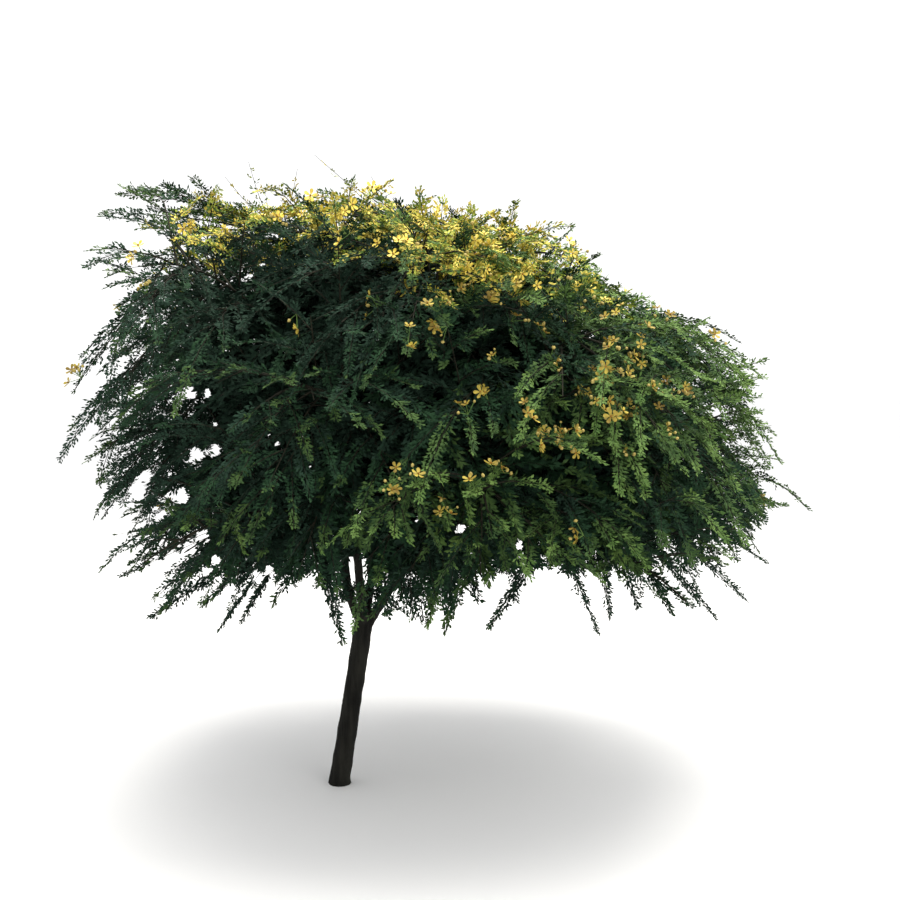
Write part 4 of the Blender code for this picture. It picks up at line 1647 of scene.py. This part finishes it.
@dataclass
class Blossom:
    """Golden five-petalled flowers and round buds, in loose clusters on the outer plumes."""

    canopy: Canopy
    clusters: int = 205
    flowers: tuple[int, int] = (1, 3)
    buds: tuple[int, int] = (0, 5)
    spread: float = 0.040
    stand: float = 0.024  # how far a flower stands off its plume
    radius: float = 0.0152
    radius_scatter: float = 0.22
    facing_scatter: float = 0.45
    petals: int = 5
    petal_width: float = 0.54
    petal_foot: tuple[float, float] = (0.10, 0.05)
    petal_sides: Table = ((0.45, 0.75), (0.80, 1.0), (0.98, 0.45))  # how far out, share of the half width
    cup: float = 0.30
    bud_radius: float = 0.0042
    bud_sizes: tuple[float, float] = (0.75, 1.2)
    bud_stretch: float = 1.25
    anther_radius: float = 0.16
    anther_stand: float = 0.002
    stalk_radius: float = 0.0009
    stalk_sides: int = 3
    outermost: float = 0.84
    least_sunk: float = 0.045  # below the crown's top profile
    along: tuple[float, float] = (0.25, 0.85)  # where on its plume a cluster sits
    apart: tuple[float, float] = (0.2, 1.0)  # how far a head is from its cluster's middle, beside the spread
    way_scatter: float = 0.35
    beds: tuple[Region, ...] = (
        Region((0.20, -0.88, 0.42), 26.0, 1.0),
        Region((0.37, -0.84, 0.39), 40.0, 0.3),
        Region((0.02, -0.20, 0.98), 8.0, 0.85),
        Region((0.20, 0.85, 0.49), 10.0, 0.6),
    )  # how full the blossom is there
    stray: float = 0.006

    def flower(self) -> Template:
        """Makes one flower, a metre in radius: five narrow petals, each a cupped blade with a blunt end.

        Returns:
            The flower.
        """
        shape = bmesh.new()
        half = self.petal_width / 2
        outline = [self.petal_foot, *((reach, half * breadth) for reach, breadth in self.petal_sides)]
        for petal in range(self.petals):
            turn = Matrix.Rotation(2 * math.pi * petal / self.petals, 3, "Z")
            left, right = (
                [Vector((reach, side * hand, self.cup * reach * reach)) for reach, side in outline]
                for hand in (1, -1)
            )
            shape.faces.new([shape.verts.new(turn @ place) for place in left + right[::-1]])
        return Template.from_bmesh(shape)

    def ball(self, radius: float) -> Template:
        """Makes a small round bud, longer than it is wide.

        Args:
            radius: its radius across.

        Returns:
            The bud.
        """
        shape = bmesh.new()
        bmesh.ops.create_icosphere(shape, subdivisions=1, radius=radius)
        bmesh.ops.scale(shape, vec=(1, 1, self.bud_stretch), verts=shape.verts)
        return Template.from_bmesh(shape)

    def places(self) -> tuple[np.ndarray, np.ndarray]:
        """Chooses where the clusters sit.

        Returns:
            The place of each, and the way out from its plume there.
        """
        chance = np.random.default_rng(SEED + 2)
        plumes, crown = self.canopy.plumes, self.canopy.skeleton.crown
        middle = plumes.lines[:, self.canopy.plume_stations // 2]
        way = crown.away(middle)
        weight = np.full(len(way), self.stray)
        for bed in self.beds:
            weight += bed.at(way)
        weight = weight * (crown.share(middle) > self.outermost) * (plumes.bareness == 1)
        weight = weight * (self.canopy.profile(middle[:, 0]) - middle[:, 2] > self.least_sunk)
        rows = chance.choice(len(weight), self.clusters, replace=False, p=weight / weight.sum())
        places, along = plumes.at(rows, chance.uniform(*self.along, len(rows)))
        out = unit(way[rows] + chance.normal(0, self.way_scatter, (len(rows), 3)))
        return places, square_to(out, along)

    def make(self) -> list[bpy.types.Object]:
        """Builds the petals, anthers, buds and stalks.

        Returns:
            The pieces.
        """
        chance = np.random.default_rng(SEED + 3)
        centres, ways = self.places()
        parts = {}
        for kind, span in (("flower", self.flowers), ("bud", self.buds)):
            counts = chance.integers(span[0], span[1] + 1, len(centres))
            rows = np.repeat(np.arange(len(centres)), counts)
            feet = centres[rows]
            facing = unit(ways[rows] + chance.normal(0, self.facing_scatter, (len(rows), 3)))
            side = square_to(chance.normal(0, 1, (len(rows), 3)), ways[rows])
            apart = chance.uniform(*self.apart, len(rows)) * self.spread * (counts[rows] > 1)
            heads = feet + ways[rows] * self.stand + side * apart[:, None]
            parts[kind] = (feet, heads, facing)
        feet, heads, facing = parts["flower"]
        across = square_to(chance.normal(0, 1, facing.shape), facing)
        other = np.cross(facing, across)
        sizes = self.radius * near_one(chance, self.radius_scatter, len(heads))
        # Flowers in the crown's sunlit cap take the painted-sunlight petals, the rest the painted-shade ones.
        below_top = self.canopy.profile(heads[:, 0]) - heads[:, 2]
        in_sun = (below_top < self.canopy.cap_depths[1][1]) & (heads[:, 2] > self.canopy.cap_foot)
        shaded, sunlit = (
            self.flower().repeated(*(rows[own] for rows in (heads, across, other, facing, sizes)))
            for own in (~in_sun, in_sun)
        )
        middles = heads + facing * self.anther_stand
        anthers = self.ball(self.anther_radius).repeated(middles, across, other, facing, sizes)
        bud_feet, bud_heads, bud_facing = parts["bud"]
        bud_across = square_to(chance.normal(0, 1, bud_facing.shape), bud_facing)
        bud_other = np.cross(bud_facing, bud_across)
        bud_sizes = chance.uniform(*self.bud_sizes, len(bud_heads))
        buds = self.ball(self.bud_radius).repeated(bud_heads, bud_across, bud_other, bud_facing, bud_sizes)
        lines = np.stack([np.concatenate([feet, bud_feet]), np.concatenate([heads, bud_heads])], axis=1)
        stalks = thin_tubes(lines, np.full(lines.shape[:2], self.stalk_radius), self.stalk_sides)
        kinds = {
            "petals_shaded": (shaded, SHADED_PETAL),
            "petals_sunlit": (sunlit, SUNLIT_PETAL),
            "anthers": (anthers, ANTHER),
            "buds": (buds, BUD),
            "flower_stalks": (stalks, LEAF_FINISHES[Tint.FRESH]),
        }
        return [joined_piece(name, shape, finish.make()) for name, (shape, finish) in kinds.items()]


# Studio


def stand_at(stand: bpy.types.Object, place: Vector, aim: Vector) -> None:
    """Links a lamp or a camera to the scene, at its place and facing its aim.

    Args:
        stand: the lamp or the camera.
        place: where it stands.
        aim: what it faces.
    """
    stand.location = place
    stand.rotation_euler = (aim - place).to_track_quat("-Z", "Y").to_euler()
    bpy.context.scene.collection.objects.link(stand)


@dataclass(frozen=True)
class Lamp:
    """A square soft light: its name, place, size, power in watts and colour."""

    name: str
    place: Triple
    size: float
    power: float
    colour: Triple

    def hang(self, aim: Vector) -> None:
        """Hangs the lamp so that it faces a place.

        Args:
            aim: the place.
        """
        light = bpy.data.lights.new(self.name, "AREA")
        light.shape = "SQUARE"
        light.size = self.size
        light.energy = self.power
        light.color = self.colour
        stand_at(bpy.data.objects.new(self.name, light), Vector(self.place), aim)


@dataclass
class Studio:
    """A plain pale floor, soft light from above, a gentle fill from the front, and the camera."""

    view: View
    floor_size: float = 60.0
    paint: Finish = Finish("floor_paint", (0.86, 0.86, 0.86), (0.87, 0.87, 0.87), 0.9, 2.0, 40.0, 0.0)
    lamps: tuple[Lamp, ...] = (
        Lamp("sky_panel", (0.7, -0.1, 5.2), 4.6, 430.0, (1.0, 0.97, 0.90)),
        Lamp("fill_panel", (3.2, -3.8, 3.0), 3.0, 70.0, (1.0, 0.98, 0.94)),
    )
    surroundings: float = 1.18

    def floor(self) -> None:
        """Lays the floor."""
        shape = bmesh.new()
        bmesh.ops.create_grid(shape, x_segments=1, y_segments=1, size=self.floor_size / 2)
        mesh = bpy.data.meshes.new("floor")
        shape.to_mesh(mesh)
        shape.free()
        floor = bpy.data.objects.new("floor", mesh)
        bpy.context.scene.collection.objects.link(floor)
        mesh.materials.append(self.paint.make())

    def make(self) -> None:
        """Sets up the floor, the lamps, the surroundings and the camera."""
        scene, aim = bpy.context.scene, Vector(self.view.aim)
        self.floor()
        for lamp in self.lamps:
            lamp.hang(aim)
        scene.world = bpy.data.worlds.new("surroundings")
        scene.world.use_nodes = True
        glow = scene.world.node_tree.nodes["Background"]
        glow.inputs["Color"].default_value = (1.0, 1.0, 1.0, 1)
        glow.inputs["Strength"].default_value = self.surroundings
        scene.view_settings.view_transform = "Standard"
        lens = bpy.data.cameras.new("camera")
        lens.lens = self.view.lens
        lens.sensor_width = self.view.sensor
        scene.camera = bpy.data.objects.new("camera", lens)
        stand_at(scene.camera, Vector(self.view.eye), aim)


def main() -> None:
    """Builds the wood, the foliage, the blossom and the studio, in that order."""
    logging.basicConfig(level=logging.INFO, format="%(message)s")
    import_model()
    skeleton = Skeleton().grow()
    view = View()
    canopy = Canopy(skeleton, view).grow()
    for maker in (Bark(skeleton), canopy, Blossom(canopy)):
        for piece in maker.make():
            LOG.info("%s: %d faces", piece.name, len(piece.data.polygons))
    Studio(view).make()


if __name__ == "__main__":
    main()
